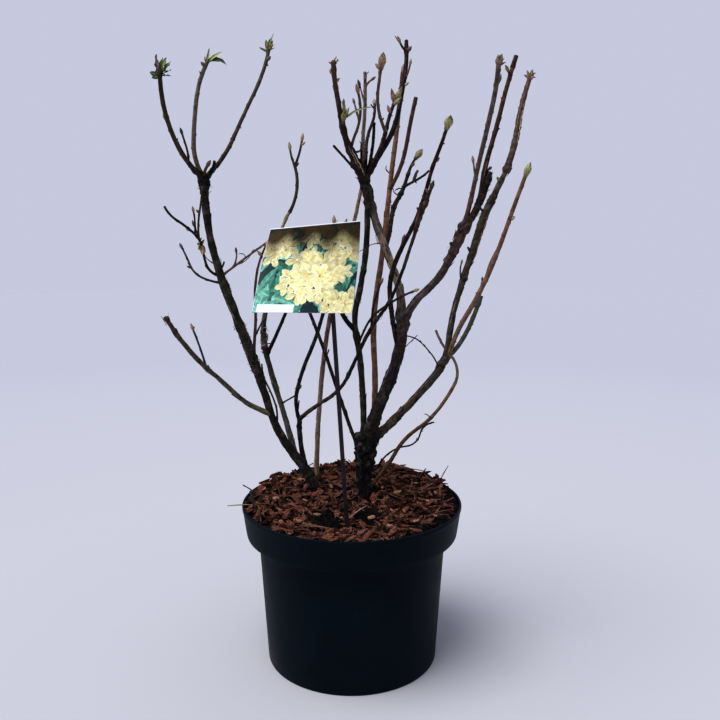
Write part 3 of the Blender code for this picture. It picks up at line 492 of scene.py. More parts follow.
def addSkin(pile, points, radii, sides, tints, relief=None, cover=0.0, shift=0.0):
    # a round skin through the points, each ring square to the way it runs, lifted by the relief
    across = Vector((1, 0, 0))
    rings = []
    along = shift
    for k, (point, radius) in enumerate(zip(points, radii)):
        before = points[max(k - 1, 0)]
        after = points[min(k + 1, len(points) - 1)]
        way = (after - before).normalized()
        across = (across - way * across.dot(way)).normalized()
        other = way.cross(across)
        if k:
            along += (point - points[k - 1]).length
        tint = tints[min(k, len(tints) - 1)]
        peel = cover * min(max(0.5 + 3 * noise.noise(point / 0.016), 0.0), 1.0)
        ring = []
        for s in range(sides):
            turn = 2 * math.pi * s / sides
            out = across * math.cos(turn) + other * math.sin(turn)
            place = Vector((math.cos(turn) * radius, math.sin(turn) * radius, along))
            lift = relief(place, radius) if relief else 0.0
            ring.append(addPoint(pile, point + out * (radius + lift), tint, place, way, peel))
        rings.append((ring, point, way, tint))
    for (lower, *_), (upper, *_) in zip(rings, rings[1:]):
        for s in range(sides):
            after = (s + 1) % sides
            addFace(pile, (lower[s], lower[after], upper[after], upper[s]))
    for (ring, point, way, tint), last in ((rings[0], False), (rings[-1], True)):
        middle = addPoint(pile, point, tint, (0, 0, along if last else shift), way, 0.0)
        for s in range(sides):
            after = (s + 1) % sides
            addFace(pile, (ring[s], ring[after], middle) if last else (ring[after], ring[s], middle))


def pileObject(name, pile, materials, smooth=True, keys=("place", "way", "tint")):
    data = bpy.data.meshes.new(name)
    data.from_pydata(pile["points"], [], pile["faces"])
    for material in materials:
        data.materials.append(material)
    data.polygons.foreach_set("material_index", np.array(pile["paint"], np.int32))
    for key in keys:
        made = data.attributes.new("limb" + key.capitalize(), "FLOAT_VECTOR", "POINT")
        made.data.foreach_set("vector", np.array(pile[key], np.float32).reshape(-1))
    made = data.attributes.new("cover", "FLOAT", "POINT")
    made.data.foreach_set("value", np.array(pile["cover"], np.float32))
    data.polygons.foreach_set("use_smooth", np.full(len(data.polygons), smooth))
    data.update()
    return newObject(name, data)


def place(piece, slot, *nodes):  # rides on the plant's one body and hides the parts that it stands for
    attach(piece, "root")
    if nodes:
        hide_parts(*nodes)
    return piece


# Bark

barkTints = {  # the bark's own colour on each limb, foot first where it changes along the limb
    "left_stem": ("#201918", "#211e1a", "#1d1812", "#201d16", "#26271b", "#2a291c", "#1e1a10", "#131208"),
    "trunk": "#020203", "main_bough": ("#191513", "#231a15", "#1d1514", "#211a17", "#2b221e", "#372c29"),
    "middle_bough": ("#352d2a", "#66594e", "#827261", "#78695c", "#433c35", "#130f0f"),
    "right_bough": ("#3a342d", "#4b403b", "#403531", "#3f322d", "#493730", "#35281f"),
    "low_right_bough": ("#3a3227", "#443b2c", "#463928", "#3d352a", "#302d29", "#2f2a23"),
    "centre_bough": ("#241d15", "#272017", "#1d1b12", "#1c1a11", "#211c13", "#211d14"),
    "outer_bough": ("#3b352c", "#312e25", "#38332b", "#362f25", "#302a1f", "#2f2b20", "#42362c"),
    "inner_stem": ("#423b30", "#3c392e", "#211f18", "#353125", "#676243", "#746d4a"),
    "base_stem": "#0b0705",
    "slender_bough": ("#33271e", "#2e241c", "#1c150e", "#130b07", "#170d08", "#31221b", "#392a22"),
    "left_low_bough": ("#57533f", "#57513e", "#524b3d", "#4b4435", "#4a4434", "#3a2a22"),
    "left_back_stem": ("#705b41", "#7f6954", "#7c6b5c", "#634c3f", "#624a3f", "#675043", "#6e5841", "#705a41"),
    "back_stem": ("#31281e", "#473427", "#5c4130", "#624636", "#533b2c", "#664832"),
    "arching_stem": ("#2c1d12", "#402b1e", "#4e3822", "#4c361f", "#5a442e", "#634a2c"),
    "left_knot": "#020303", "left_outer_shoot": ("#1e180c", "#3d2f1d", "#403320", "#2c2418"),
    "left_middle_shoot": ("#392e22", "#554636", "#594d41", "#544e46"),
    "left_inner_shoot": ("#17100b", "#2f241b", "#40332a", "#3d3128", "#342b24"), "left_red_stub": "#4a3425",
    "left_black_stub": "#071102", "left_upper_twig": "#211c05", "left_upper_fork": "#372707",
    "left_lower_twig": "#170b06", "left_inner_twig": "#614c3c", "card_edge_shoot": "#493221",
    "inner_thread": "#302819", "low_left_twig": "#272b29", "inner_top_shoot": "#392e25",
    "inner_top_left": "#45382c", "inner_top_right": "#332317", "card_side_shoot": "#030202",
    "base_left_shoot": "#100b05", "base_link_twig": "#020202", "slender_tip": "#352314",
    "slender_side_twig": "#140402", "side_shoot": "#161311",
    "crossing_shoot": ("#211305", "#231405", "#220e02", "#321404"), "knotty_shoot": "#16160d",
    "knotty_fork": "#221905", "knotty_stub": "#4a4a40", "bud_twig": "#291b1b", "centre_fork": "#040302",
    "thread_twig": "#361304", "crown_knot": "#060a05",
    "crown_left_shoot": ("#321e13", "#24170d", "#2b1b11", "#3f2d20", "#4e3c2b"),
    "crown_middle_shoot": ("#584b41", "#706154", "#736257", "#736257"),
    "crown_left_fork": ("#42392c", "#504435", "#524537", "#524537"), "crown_back_shoot": "#140302",
    "crown_right_shoot": "#1c0602", "crown_right_fork": "#5c503e",
    "crown_top_shoot": ("#090404", "#0c0202", "#090202", "#0a0202", "#150202"),
    "crown_left_stub": "#271e08", "crown_front_stub": "#0a0202", "crown_side_twig": "#876528",
    "crown_top_bud": "#351e0e", "crown_top_side": "#623e23", "right_knot": "#3a2927",
    "right_inner_shoot": ("#664a45", "#574136", "#59473d", "#5a4e43"),
    "right_outer_shoot": ("#281207", "#251106", "#2e1809", "#3a2312", "#3f2614"),
    "right_dead_stub": "#190f08",
    "far_right_shoot": ("#68563f", "#72594a", "#705347", "#6d4f3e", "#6c4e3b"), "far_right_stub": "#424537",
    "outer_top_shoot": ("#3e3128", "#4e3f34", "#4f3c31", "#5b4337"), "arching_tip": "#625345",
    "low_back_twig": "#020202", "back_top_shoot": ("#644432", "#6a4c3a", "#6c5240", "#563524", "#4e2c1b"),
    "back_side_shoot": "#4b3429", "stemKnob": "#2c211b", "paleStrand": "#9a7a64", "tangleLeft": "#8a745c",
    "tangleRight": "#7c6650", "tangleTop": "#8a745c", "backFibre": "#7a6050", "backFibreSide": "#7a6050",
    "knottyCurl": "#6a5a4c", "deadRag": "#3c342e",
}


def barkMaterial(name, low, high, strips, plates, bloomMost, roughness, shine, depth):
    # weathered azalea bark: fibrous and matt, with thin strips, darker splits and a grey bloom
    made, tree, surface = newMaterial(name, {"Roughness": roughness, "IOR": 1.45, "Specular IOR Level": shine})
    where = addNode(tree, "ShaderNodeAttribute", {"attribute_name": "limbPlace"})
    tint = addNode(tree, "ShaderNodeAttribute", {"attribute_name": "limbTint"})
    fibre = addNode(tree, "ShaderNodeMapping", {"Scale": (1, 1, 0.16)}, {"Vector": where.outputs["Vector"]})
    fine = addNode(tree, "ShaderNodeTexNoise", {"Scale": strips, "Detail": 5, "Roughness": 0.65},
                   {"Vector": fibre.outputs["Vector"]})
    broad = addNode(tree, "ShaderNodeTexNoise", {"Scale": plates, "Detail": 4, "Roughness": 0.7},
                    {"Vector": where.outputs["Vector"]})
    both = addNode(tree, "ShaderNodeMath", {"operation": "ADD"},
                   {0: fine.outputs["Fac"], 1: broad.outputs["Fac"]})
    light = addNode(tree, "ShaderNodeMapRange", {"From Min": 0.78, "From Max": 1.24, "To Min": low, "To Max": high},
                    {"Value": both.outputs[0]})
    colour = addNode(tree, "ShaderNodeVectorMath", {"operation": "SCALE"},
                     {0: tint.outputs["Vector"], "Scale": light.outputs["Result"]})
    patches = addNode(tree, "ShaderNodeTexNoise", {"Scale": 75, "Detail": 5, "Roughness": 0.6},
                      {"Vector": where.outputs["Vector"]})  # bloom in patches about 13 mm across
    bloom = addNode(tree, "ShaderNodeMapRange", {"From Min": 0.52, "From Max": 0.70, "To Max": bloomMost},
                    {"Value": patches.outputs["Fac"]})
    mixed = addNode(tree, "ShaderNodeMix", {"data_type": "RGBA", 7: linear("#7d746c")},
                    {0: bloom.outputs["Result"], 6: colour.outputs["Vector"]})
    tree.links.new(mixed.outputs[2], surface.inputs["Base Color"])
    bump = addNode(tree, "ShaderNodeBump", {"Strength": depth, "Distance": 0.0006}, {"Height": both.outputs[0]})
    tree.links.new(bump.outputs["Normal"], surface.inputs["Normal"])
    return made


oldBark = barkMaterial("weatheredOldBark", 0.15, 2.0, 520, 120, 0.34, 0.88, 0.25, 0.8)  # strips 2 mm, plates 8 mm
youngBark = barkMaterial("smoothYoungBark", 0.40, 1.60, 800, 150, 0.26, 0.52, 0.14, 0.4)  # strips 1.2 mm, plates 7 mm

reliefs = {  # mm
    "old": {"ringStep": 1.2, "sideWidth": 1.3, "fissure": 0.6, "width": 2.6, "length": 20, "wave": 0.10,
            "grain": 0.20, "scar": 0.0, "scarStep": 30},
    "young": {"ringStep": 1.5, "sideWidth": 1.3, "fissure": 0.14, "width": 2.0, "length": 18, "wave": 0.07,
              "grain": 0.08, "scar": 0.5, "scarStep": 24},
    "shoot": {"ringStep": 1.6, "sideWidth": 1.2, "fissure": 0.08, "width": 1.6, "length": 12, "wave": 0.05,
              "grain": 0.05, "scar": 0.7, "scarStep": 16},
    "gnarled": {"ringStep": 1.0, "sideWidth": 1.2, "fissure": 1.1, "width": 3.4, "length": 15, "wave": 0.24,
                "grain": 0.24, "scar": 0.0, "scarStep": 30},
}
swellings = {  # knots and burls: share of the length, how far they stand out and their reach along it in mm
    "left_stem": ((0.10, 1.2, 14), (0.50, 1.3, 30), (0.712, 1.3, 8), (0.99, 2.2, 11)),
    "trunk": ((0.12, 2.2, 16), (0.74, 2.8, 20), (0.95, 2.2, 16)),
    "main_bough": ((0.06, 2.6, 30), (0.376, 1.4, 8), (0.538, 1.7, 9), (1.0, 3.0, 13)),
    "middle_bough": ((0.35, 0.8, 8), (0.829, 1.4, 9), (0.98, 2.4, 22)),
    "right_bough": ((0.50, 0.5, 8), (0.811, 1.3, 8), (0.928, 1.7, 10)),
    "low_right_bough": ((0.0, 5.4, 22), (0.30, 1.0, 9), (0.93, 1.8, 11)),
    "outer_bough": ((0.434, 1.7, 9), (0.552, 0.8, 6), (0.70, 0.7, 6), (0.84, 1.8, 9)),
    "centre_bough": ((0.44, 1.2, 7), (0.70, 0.7, 6)),
    "inner_stem": ((0.45, 1.5, 12), (0.30, 0.8, 7), (0.98, 0.8, 5)),
    "slender_bough": ((0.634, 0.6, 5), (0.30, 0.6, 6), (0.98, 1.6, 24)),
    "left_low_bough": ((0.55, 0.7, 6), (0.866, 0.8, 5), (1.0, 1.0, 4)),
    "base_stem": ((0.9, 0.9, 8),),
    "left_knot": ((0.5, 2.8, 10),), "crown_knot": ((0.0, -2.0, 7), (0.6, 2.0, 10)), "right_knot": ((0.5, 1.8, 10),),
    "left_outer_shoot": ((0.03, 2.4, 13),), "left_inner_shoot": ((0.0, 2.0, 12), (0.10, 0.9, 6)),
    "crown_left_shoot": ((0.20, 2.2, 24), (0.504, 1.3, 7), (0.95, 0.9, 5)),
    "crown_right_shoot": ((0.10, 1.2, 10), (0.6, 0.7, 5)), "crown_top_shoot": ((0.08, 1.5, 12), (0.97, 0.7, 4)),
    "right_outer_shoot": ((0.04, 1.5, 10), (0.17, 1.0, 7), (0.96, 0.6, 4)), "right_dead_stub": ((0.5, 1.0, 12), (0.95, 1.0, 6)),
    "right_inner_shoot": ((0.329, 0.8, 6),), "outer_top_shoot": ((0.05, 1.2, 8), (0.40, 0.9, 42), (0.78, 0.8, 6)),
    "far_right_stub": ((0.9, 0.8, 5),), "knotty_shoot": ((0.42, 1.0, 6), (0.596, 1.2, 6), (0.80, 0.8, 4)),
    "side_shoot": ((0.3, 0.7, 5), (0.62, 0.7, 5)), "crossing_shoot": ((0.35, 0.5, 5), (0.835, 0.6, 4)),
}


def reliefOf(kind, name, length):
    look = reliefs[kind]
    width, run, step = (look[key] * mm for key in ("width", "length", "scarStep"))
    offset = sum(ord(c) for c in name) * 0.37
    lumps = [(share * length, extra * mm, reach * mm) for share, extra, reach in swellings.get(name, ())]

    def lift(at, radius):
        x, y, z = at
        crease = abs(noise.noise(Vector((x / width, y / width, z / run + offset))))
        wave = noise.noise(Vector((x / 0.006, y / 0.006, z / 0.015 + offset)))
        grain = noise.noise(Vector((x / 0.0011, y / 0.0011, z / 0.0035 + offset)))
        total = -look["fissure"] * mm * max(0.0, 1 - crease / 0.16) + look["wave"] * radius * 2 * wave
        total += look["grain"] * mm * grain
        for spot, extra, reach in lumps:
            close = math.exp(-((z - spot) / reach) ** 2)
            if close > 0.03:
                gnarl = noise.noise(Vector((x / 0.004, y / 0.004, z / 0.005 + offset)))
                total += close * extra * (0.55 + 1.3 * gnarl)
        if look["scar"]:  # leaf scars, each a turn further round the limb
            count = math.floor(z / step + 0.35 * noise.noise(Vector((offset, z / step, 0))))
            ahead = math.cos(math.atan2(y, x) - count * math.radians(137.5) - offset)
            if ahead > 0:
                total += look["scar"] * mm * ahead * math.exp(-((z - (count + 0.5) * step) / (1.5 * mm)) ** 2)
        return max(total, -0.7 * radius)

    return lift


def tintsOf(name, count):  # one linear colour for each ring
    look = barkTints[name] if name in barkTints else barkTints[limbOf(name)["parent"]]
    stops = [Vector(linear(colour)[:3]) for colour in ((look,) if isinstance(look, str) else look)]
    return [between(stops, k / count) for k in range(count + 1)]


def growLimb(pile, name, kind, cover=0.0):
    look = reliefs[kind]
    one = limbOf(name)
    rings = max(6, round(one["length"] / (look["ringStep"] * mm)))
    shares = [k / rings for k in range(rings + 1)]
    points = [pointOn(name, share) for share in shares]
    radii = [radiusOn(name, share) for share in shares]
    if one["parent"] != "ground":  # the branch collar, where it grows out of its parent
        reach = radiusOn(one["parent"], one["spring"]) + radii[0]
        for k, share in enumerate(shares):
            radii[k] *= 1 + 0.28 * math.exp(-(share * one["length"] / reach) ** 2 * 1.2)
        footWay = (points[0] - points[1]).normalized()
        foot, wide = points[0], radii[0]
        radii[0] *= 0.96
        for behind, slim in ((0.24, 0.84), (0.40, 0.55)):
            points.insert(0, foot + footWay * wide * behind)
            radii.insert(0, wide * slim)
    tipWay = (points[-1] - points[-2]).normalized()
    tip = points[-1]
    tipRadius = radii[-1]
    for ahead, slim in ((0.22, 0.90), (0.36, 0.62)):
        points.append(tip + tipWay * tipRadius * ahead)
        radii.append(tipRadius * slim)
    sides = max(8, round(2 * math.pi * max(radii) / (look["sideWidth"] * mm)))
    addSkin(pile, points, radii, sides, tintsOf(name, rings), reliefOf(kind, name, one["length"]), cover)


barkPieces = {  # piece: (slot, relief, material, peeling, boughs)
    "leftStemBark": ("old_bark", "old", oldBark, 1.0, (
        "left_stem", "inner_stem", "base_stem", "slender_bough", "left_low_bough")),
    "trunkBark": ("old_bark", "old", oldBark, 1.0, (
        "trunk", "main_bough", "middle_bough", "right_bough", "low_right_bough", "centre_bough", "outer_bough")),
    "youngStemBark": ("young_bark", "young", youngBark, 0.0, ("left_back_stem", "back_stem", "arching_stem")),
}
deadWood = {  # bare strips where the bark has gone: limb, from, to, degrees round it from the right, width in mm
    "step": 1.5,
    "strips": (("outer_bough", 0.50, 0.84, 345, 5.2, "#86685a"), ("slender_bough", 0.90, 0.99, 190, 4.6, "#4a3229"),
               ("outer_bough", 0.16, 0.30, 250, 1.4),
               ("main_bough", 0.40, 0.62, 215, 1.4), ("middle_bough", 0.30, 0.62, 240, 1.3),
               ("low_right_bough", 0.35, 0.75, 225, 1.3), ("left_stem", 0.60, 0.68, 240, 1.2),
               ("crown_left_shoot", 0.03, 0.30, 292, 2.6, "#96917e"), ("crown_left_shoot", 0.12, 0.34, 268, 2.0, "#7d6556"),
               ("crown_top_shoot", 0.05, 0.20, 250, 1.6), ("outer_top_shoot", 0.30, 0.72, 300, 2.0, "#9a887c"),
               ("outer_top_shoot", 0.42, 0.80, 240, 1.1), ("right_outer_shoot", 0.30, 0.45, 270, 1.0)),
}


def swellAt(name, share):
    length = limbOf(name)["length"]
    return sum(extra * mm * math.exp(-((share - spot) * length / (reach * mm)) ** 2)
               for spot, extra, reach in swellings.get(name, ()))


def addStrip(pile, name, start, end, around, width, colour="#8c7866"):  # a torn strip that lies along the limb
    steps = max(4, round((end - start) * limbOf(name)["length"] / (deadWood["step"] * mm)))
    tint = linear(colour)[:3]
    rows = []
    for k in range(steps + 1):
        share = start + (end - start) * k / steps
        along, across, other = wayOn(name, share)
        wander = around + 12 * noise.noise(Vector((share * 30, width, 0)))
        wide = width * mm * max(math.sin(math.pi * (k + 0.4) / (steps + 0.8)), 0.1) ** 0.5
        wide *= 0.8 + 0.5 * noise.noise(Vector((share * 60, 0, width)))
        radius = radiusOn(name, share) + swellAt(name, share)
        row = []
        for turn, lift in ((-1, 0.0), (0, 1), (1, 0.0), (0, -1)):
            a = math.radians(180 - wander) + turn * wide / 2 / radius
            out = across * math.cos(a) + other * math.sin(a)
            row.append(addPoint(pile, pointOn(name, share) + out * (radius + lift * wide * 0.3), tint,
                                (wide * turn, radius, share * limbOf(name)["length"]), along, 0.0))
        rows.append(row)
    for lower, upper in zip(rows, rows[1:]):
        for k in range(4):
            addFace(pile, (lower[k], lower[(k + 1) % 4], upper[(k + 1) % 4], upper[k]))
    addFace(pile, rows[0][::-1])
    addFace(pile, rows[-1])


for pieceName, (slot, kind, material, peeling, nodes) in barkPieces.items():
    pile = newPile()
    for name in nodes:
        growLimb(pile, name, kind, peeling)
    for strip in deadWood["strips"]:
        if strip[0] in nodes:
            addStrip(pile, *strip)
    place(pileObject(pieceName, pile, [material]), slot, *nodes)
print("bark ready")


# Twigs, buds and young leaves

spurRule = {
    "seed": 11, "spacing": 0.030, "chance": 0.75, "length": (0.008, 0.022), "thickness": 0.0024,
    "lean": (28, 55), "toBack": 0.72, "turn": 137.5, "clearance": 0.003, "checks": (0.45, 0.6, 0.8, 1.0),
    "size": (0.6, 0.85), "crownRadius": 0.245, "crownTop": 0.785,
}
budSize = {"length": 0.011, "width": 0.0046}


def distanceToLimb(point, name):
    points = pathOf(name)
    nearest = min(range(len(points)), key=lambda k: (points[k] - point).length)
    return (points[nearest] - point).length - radiusOn(name, nearest / pathSteps)


def spursOf(name, taken, dice):  # short side twigs where there is room, as (root, end, way, bud size)
    found = []
    rule = spurRule
    count = int(limbs[name]["length"] / rule["spacing"])
    turn = dice.uniform(0, 360)
    for k in range(1, count):
        turn += rule["turn"]
        if dice.random() > rule["chance"]:
            continue
        share = (k + dice.uniform(-0.2, 0.2)) / count
        along, across, other = wayOn(name, share)
        lean = math.radians(dice.uniform(*rule["lean"]))
        around = math.radians(turn)
        outward = across * math.cos(around) + other * math.sin(around)
        way = (along * math.cos(lean) + outward * math.sin(lean)).normalized()
        root = pointOn(name, share)
        end = root + way * (dice.uniform(*rule["length"]) + radiusOn(name, share))
        tip = end + way * budSize["length"]
        beside = [root.lerp(tip, s) for s in rule["checks"]]
        clear = all(distanceToLimb(p, rest) > rule["clearance"] for p in beside for rest in limbs if rest != name)
        apart = all((p - q).length > 2 * rule["clearance"] for p in beside for q in taken)
        inside = math.hypot(tip.x, tip.y) < rule["crownRadius"] and tip.z < rule["crownTop"]
        if outward.y < rule["toBack"] or not (clear and apart and inside):
            continue
        taken += beside
        found.append((root, end, way, dice.uniform(*rule["size"])))
    return found


budPaints = {  # core, scale and the scale's margin
    "green": ("#5c5c34", "#9c9c68", "#755a42"),
    "yellowGreen": ("#545030", "#888350", "#5c4632"),
    "tan": ("#644b38", "#967a5e", "#5a4132"),
    "golden": ("#6c543a", "#a78868", "#624a35"),
    "russet": ("#46302a", "#6c4d40", "#32211c"),
    "redBrown": ("#50302a", "#744a40", "#38231f"),
    "brown": ("#2b201b", "#44342b", "#1d1410"),
}


def budWidth(share):  # half the bud's width for a width of 1
    if share < 0.38:
        return 0.32 + 0.18 * math.sin(math.pi / 2 * max(share, 0) / 0.38)
    return 0.5 * max(1 - ((share - 0.38) / 0.64) ** 1.6, 0.06)


def addBud(pile, foot, way, length, width, paint, dice, scales=6):
    core, skin, margin = (Vector(linear(colour)[:3]) for colour in budPaints[paint])
    across = way.cross(Vector((0.3, 1, 0.2))).normalized()
    other = way.cross(across)

    def spot(rise, turn, wide):
        a = math.radians(turn)
        return foot + way * length * rise + (across * math.cos(a) + other * math.sin(a)) * wide

    rises = (-0.25, 0.0, 0.2, 0.38, 0.56, 0.74, 0.9, 1.0)
    addSkin(pile, [foot + way * length * rise for rise in rises], [width * budWidth(rise) for rise in rises], 8, [core])
    turn = dice.uniform(0, 360)
    for k in range(scales):  # long scales that wrap the bud, the lower ones over the upper ones
        turn += 137.5
        base = -0.14 + 0.40 * k / scales
        end = 0.62 + 0.40 * k / scales
        stand = 1.10 - 0.05 * k / scales
        gape = dice.uniform(0.0, 0.07)
        rows = []
        for part, spread in ((0.0, 66), (0.3, 72), (0.6, 58), (0.85, 30)):
            rise = base + (end - base) * part
            wide = budWidth(rise) * width * (stand + gape * part) + 0.00004
            rows.append([addPoint(pile, spot(rise, turn + side * spread, wide * (1 - 0.03 * abs(side))),
                                  margin if abs(side) == 1 else margin.lerp(skin, 0.5 + 0.5 * min(part * 2, 1)))
                         for side in (-1, -0.75, 0, 0.75, 1)])
        tip = addPoint(pile, spot(end, turn, budWidth(end) * width * (1.1 + 2 * gape)), margin)
        for lower, upper in zip(rows, rows[1:]):
            for s in range(4):
                addFace(pile, (lower[s], lower[s + 1], upper[s + 1], upper[s]))
        for s in range(4):
            addFace(pile, (rows[-1][s], rows[-1][s + 1], tip))


leafPaints = {  # blade, midrib and margin
    "green": ("#4f682a", "#849150", "#434d25"),
    "darkGreen": ("#3b4f25", "#647344", "#2d3a1d"),
    "yellowGreen": ("#838840", "#adac66", "#756436"),
    "olive": ("#4e5122", "#747536", "#403e20"),
    "bronze": ("#4c372a", "#70553f", "#33261e"),
    "tan": ("#8f7250", "#b2966e", "#684f38"),
    "golden": ("#80602f", "#a98c52", "#574022"),
}


def addLeaf(pile, foot, way, length, width, face, bend, paint, ruffle=0.12):
    # a young leaf, folded along its midrib and waved at its margin: face 0 shows its blade to the
    # front and 90 its edge, and bend curls it in degrees, at 90 within the picture's plane
    blade, rib, margin = (linear(colour)[:3] for colour in leafPaints[paint])
    turn = math.radians(face)
    flat = way.cross(Vector((0, 1, 0))).normalized()
    across = (flat * math.cos(turn) + flat.cross(way) * math.sin(turn)).normalized()
    out = way.cross(across)
    rows = []
    point = foot.copy()
    steps = 8
    for k in range(steps):
        share = k / steps
        a = math.radians(bend) * share
        normal = out * math.cos(a) - way * math.sin(a)
        half = width / 2 * (0.14 + 0.86 * math.sin(math.pi * share ** 0.8) ** 0.8) * (1 - 0.15 * share)
        row = []
        for side in (-1, -0.5, 0, 0.5, 1):
            wave = ruffle * half * math.sin(share * 19 + side * 2.2 + length * 900) * abs(side)
            lift = half * 0.45 * abs(side) ** 1.4 + wave
            row.append(addPoint(pile, point + across * half * side + normal * lift,
                                rib if side == 0 else margin if abs(side) == 1 else blade))
        rows.append(row)
        point = point + (way * math.cos(a) + out * math.sin(a)) * length / steps
    tip = addPoint(pile, point, margin)
    for lower, upper in zip(rows, rows[1:]):
        for s in range(4):
            addFace(pile, (lower[s], lower[s + 1], upper[s + 1], upper[s]))
    for s in range(4):
        addFace(pile, (rows[-1][s], rows[-1][s + 1], tip))


def waxyMaterial(name, roughness, spread, scale):
    # bud scales and young leaves: thin waxy skin with a soft sheen, mottled between cells
    made, tree, surface = newMaterial(name, {"Roughness": roughness, "IOR": 1.45, "Subsurface Weight": 0.08})
    tint = addNode(tree, "ShaderNodeAttribute", {"attribute_name": "limbTint"})
    where = addNode(tree, "ShaderNodeTexCoord")
    mottle = addNode(tree, "ShaderNodeTexNoise", {"Scale": scale, "Detail": 3}, {"Vector": where.outputs["Object"]})
    light = addNode(tree, "ShaderNodeMapRange",
                    {"From Min": 0.35, "From Max": 0.65, "To Min": 1 - spread, "To Max": 1 + spread},
                    {"Value": mottle.outputs["Fac"]})
    colour = addNode(tree, "ShaderNodeVectorMath", {"operation": "SCALE"},
                     {0: tint.outputs["Vector"], "Scale": light.outputs["Result"]})
    tree.links.new(colour.outputs["Vector"], surface.inputs["Base Color"])
    bump = addNode(tree, "ShaderNodeBump", {"Strength": 0.3, "Distance": 0.0002}, {"Height": mottle.outputs["Fac"]})
    tree.links.new(bump.outputs["Normal"], surface.inputs["Normal"])
    return made


tipPaints = {  # the paint of a shoot's tip bud, where it isn't russet
    "crossing_shoot": "green", "knotty_shoot": "yellowGreen", "far_right_shoot": "green", "crown_bud_stub": "yellowGreen",
    "crown_right_fork": "golden", "bud_twig": "green", "slender_tip": "brown", "inner_top_left": "green",
    "inner_top_right": "golden", "centre_fork": "tan", "centre_fork_side": "tan", "crown_left_fork": "tan",
    "crown_back_shoot": "tan", "crown_right_shoot": "yellowGreen", "crown_top_bud": "golden",
    "crown_top_side": "tan", "right_outer_bud": "yellowGreen", "right_inner_shoot": "tan", "outer_top_shoot": "tan",
    "card_edge_shoot": "golden", "low_left_twig": "golden", "outer_side_twig": "golden", "left_outer_shoot": "brown",
    "left_red_stub": "redBrown", "left_upper_fork": "brown", "left_lower_twig": "brown", "left_inner_side": "brown",
    "left_upper_twig": "brown",
    "left_thin_twig": "brown", "left_inner_shoot": "tan", "back_top_shoot": "tan", "left_upper_side": "golden",
}
sideBuds = {  # share of the limb, degrees to the right and back, length and width in mm, paint
    "left_middle_shoot": ((0.96, -42, -20, 6, 4, "redBrown"),),
    "left_inner_shoot": ((0.925, 52, -20, 7, 4.5, "redBrown"), (1.0, -14, -10, 12, 4.5, "yellowGreen"),
                         (1.0, 24, 0, 12, 4.5, "tan"), (1.0, 6, 30, 12, 4, "yellowGreen")),
    "far_right_shoot": ((0.77, 52, -15, 8, 4.5, "green"),),
    "left_lower_twig": ((0.60, -64, -10, 6, 3, "brown"), (0.66, -30, -10, 5, 3, "brown")),
    "outer_bough": ((0.938, -36, -25, 8, 4.5, "yellowGreen"),),
    "crossing_shoot": ((0.835, 48, -15, 7, 3.5, "russet"), (0.62, -30, -20, 5, 3, "brown")),
    "crown_top_shoot": ((0.955, 44, -15, 8, 5, "redBrown"), (0.70, 64, -10, 6, 3, "green")),
    "crown_right_fork": ((0.95, -48, -15, 8, 4.5, "golden"),),
    "crown_right_shoot": ((1.0, -14, -20, 17, 5.5, "tan"), (1.0, 26, 0, 20, 7, "yellowGreen"),
                          (0.97, 48, -20, 13, 5, "green"), (0.86, -24, -25, 10, 4.5, "golden")),
    "crown_left_shoot": ((0.90, -50, -20, 6, 3.6, "tan"), (0.84, 48, -20, 6, 3, "tan")),
    "crown_bud_stub": ((0.9, -20, -10, 17, 4, "russet"), (0.9, 4, -12, 20, 4.4, "yellowGreen"), (0.9, 24, 0, 15, 4, "green")),
    "inner_top_right": ((0.82, 52, -10, 7, 3.6, "golden"),),
    "left_upper_twig": ((0.63, -64, -20, 6, 3.4, "golden"), (0.36, 28, -20, 5, 3, "russet")),
    "left_upper_fork": ((0.55, -42, -20, 5, 3, "russet"),),
    "card_edge_shoot": ((0.90, -34, -20, 8, 4, "golden"),),
    "centre_fork": ((0.80, -40, -20, 6, 3.4, "russet"),),
    "outer_top_shoot": ((0.96, 46, -10, 7, 3.6, "tan"), (0.97, -40, -10, 7, 3.4, "tan")),
    "knotty_shoot": ((0.88, 52, -20, 6, 3.4, "russet"),),
    "back_top_shoot": ((0.93, 54, -10, 7, 3.6, "tan"),),
    "slender_tip": ((0.6, -40, -10, 6, 3.4, "russet"),),
}
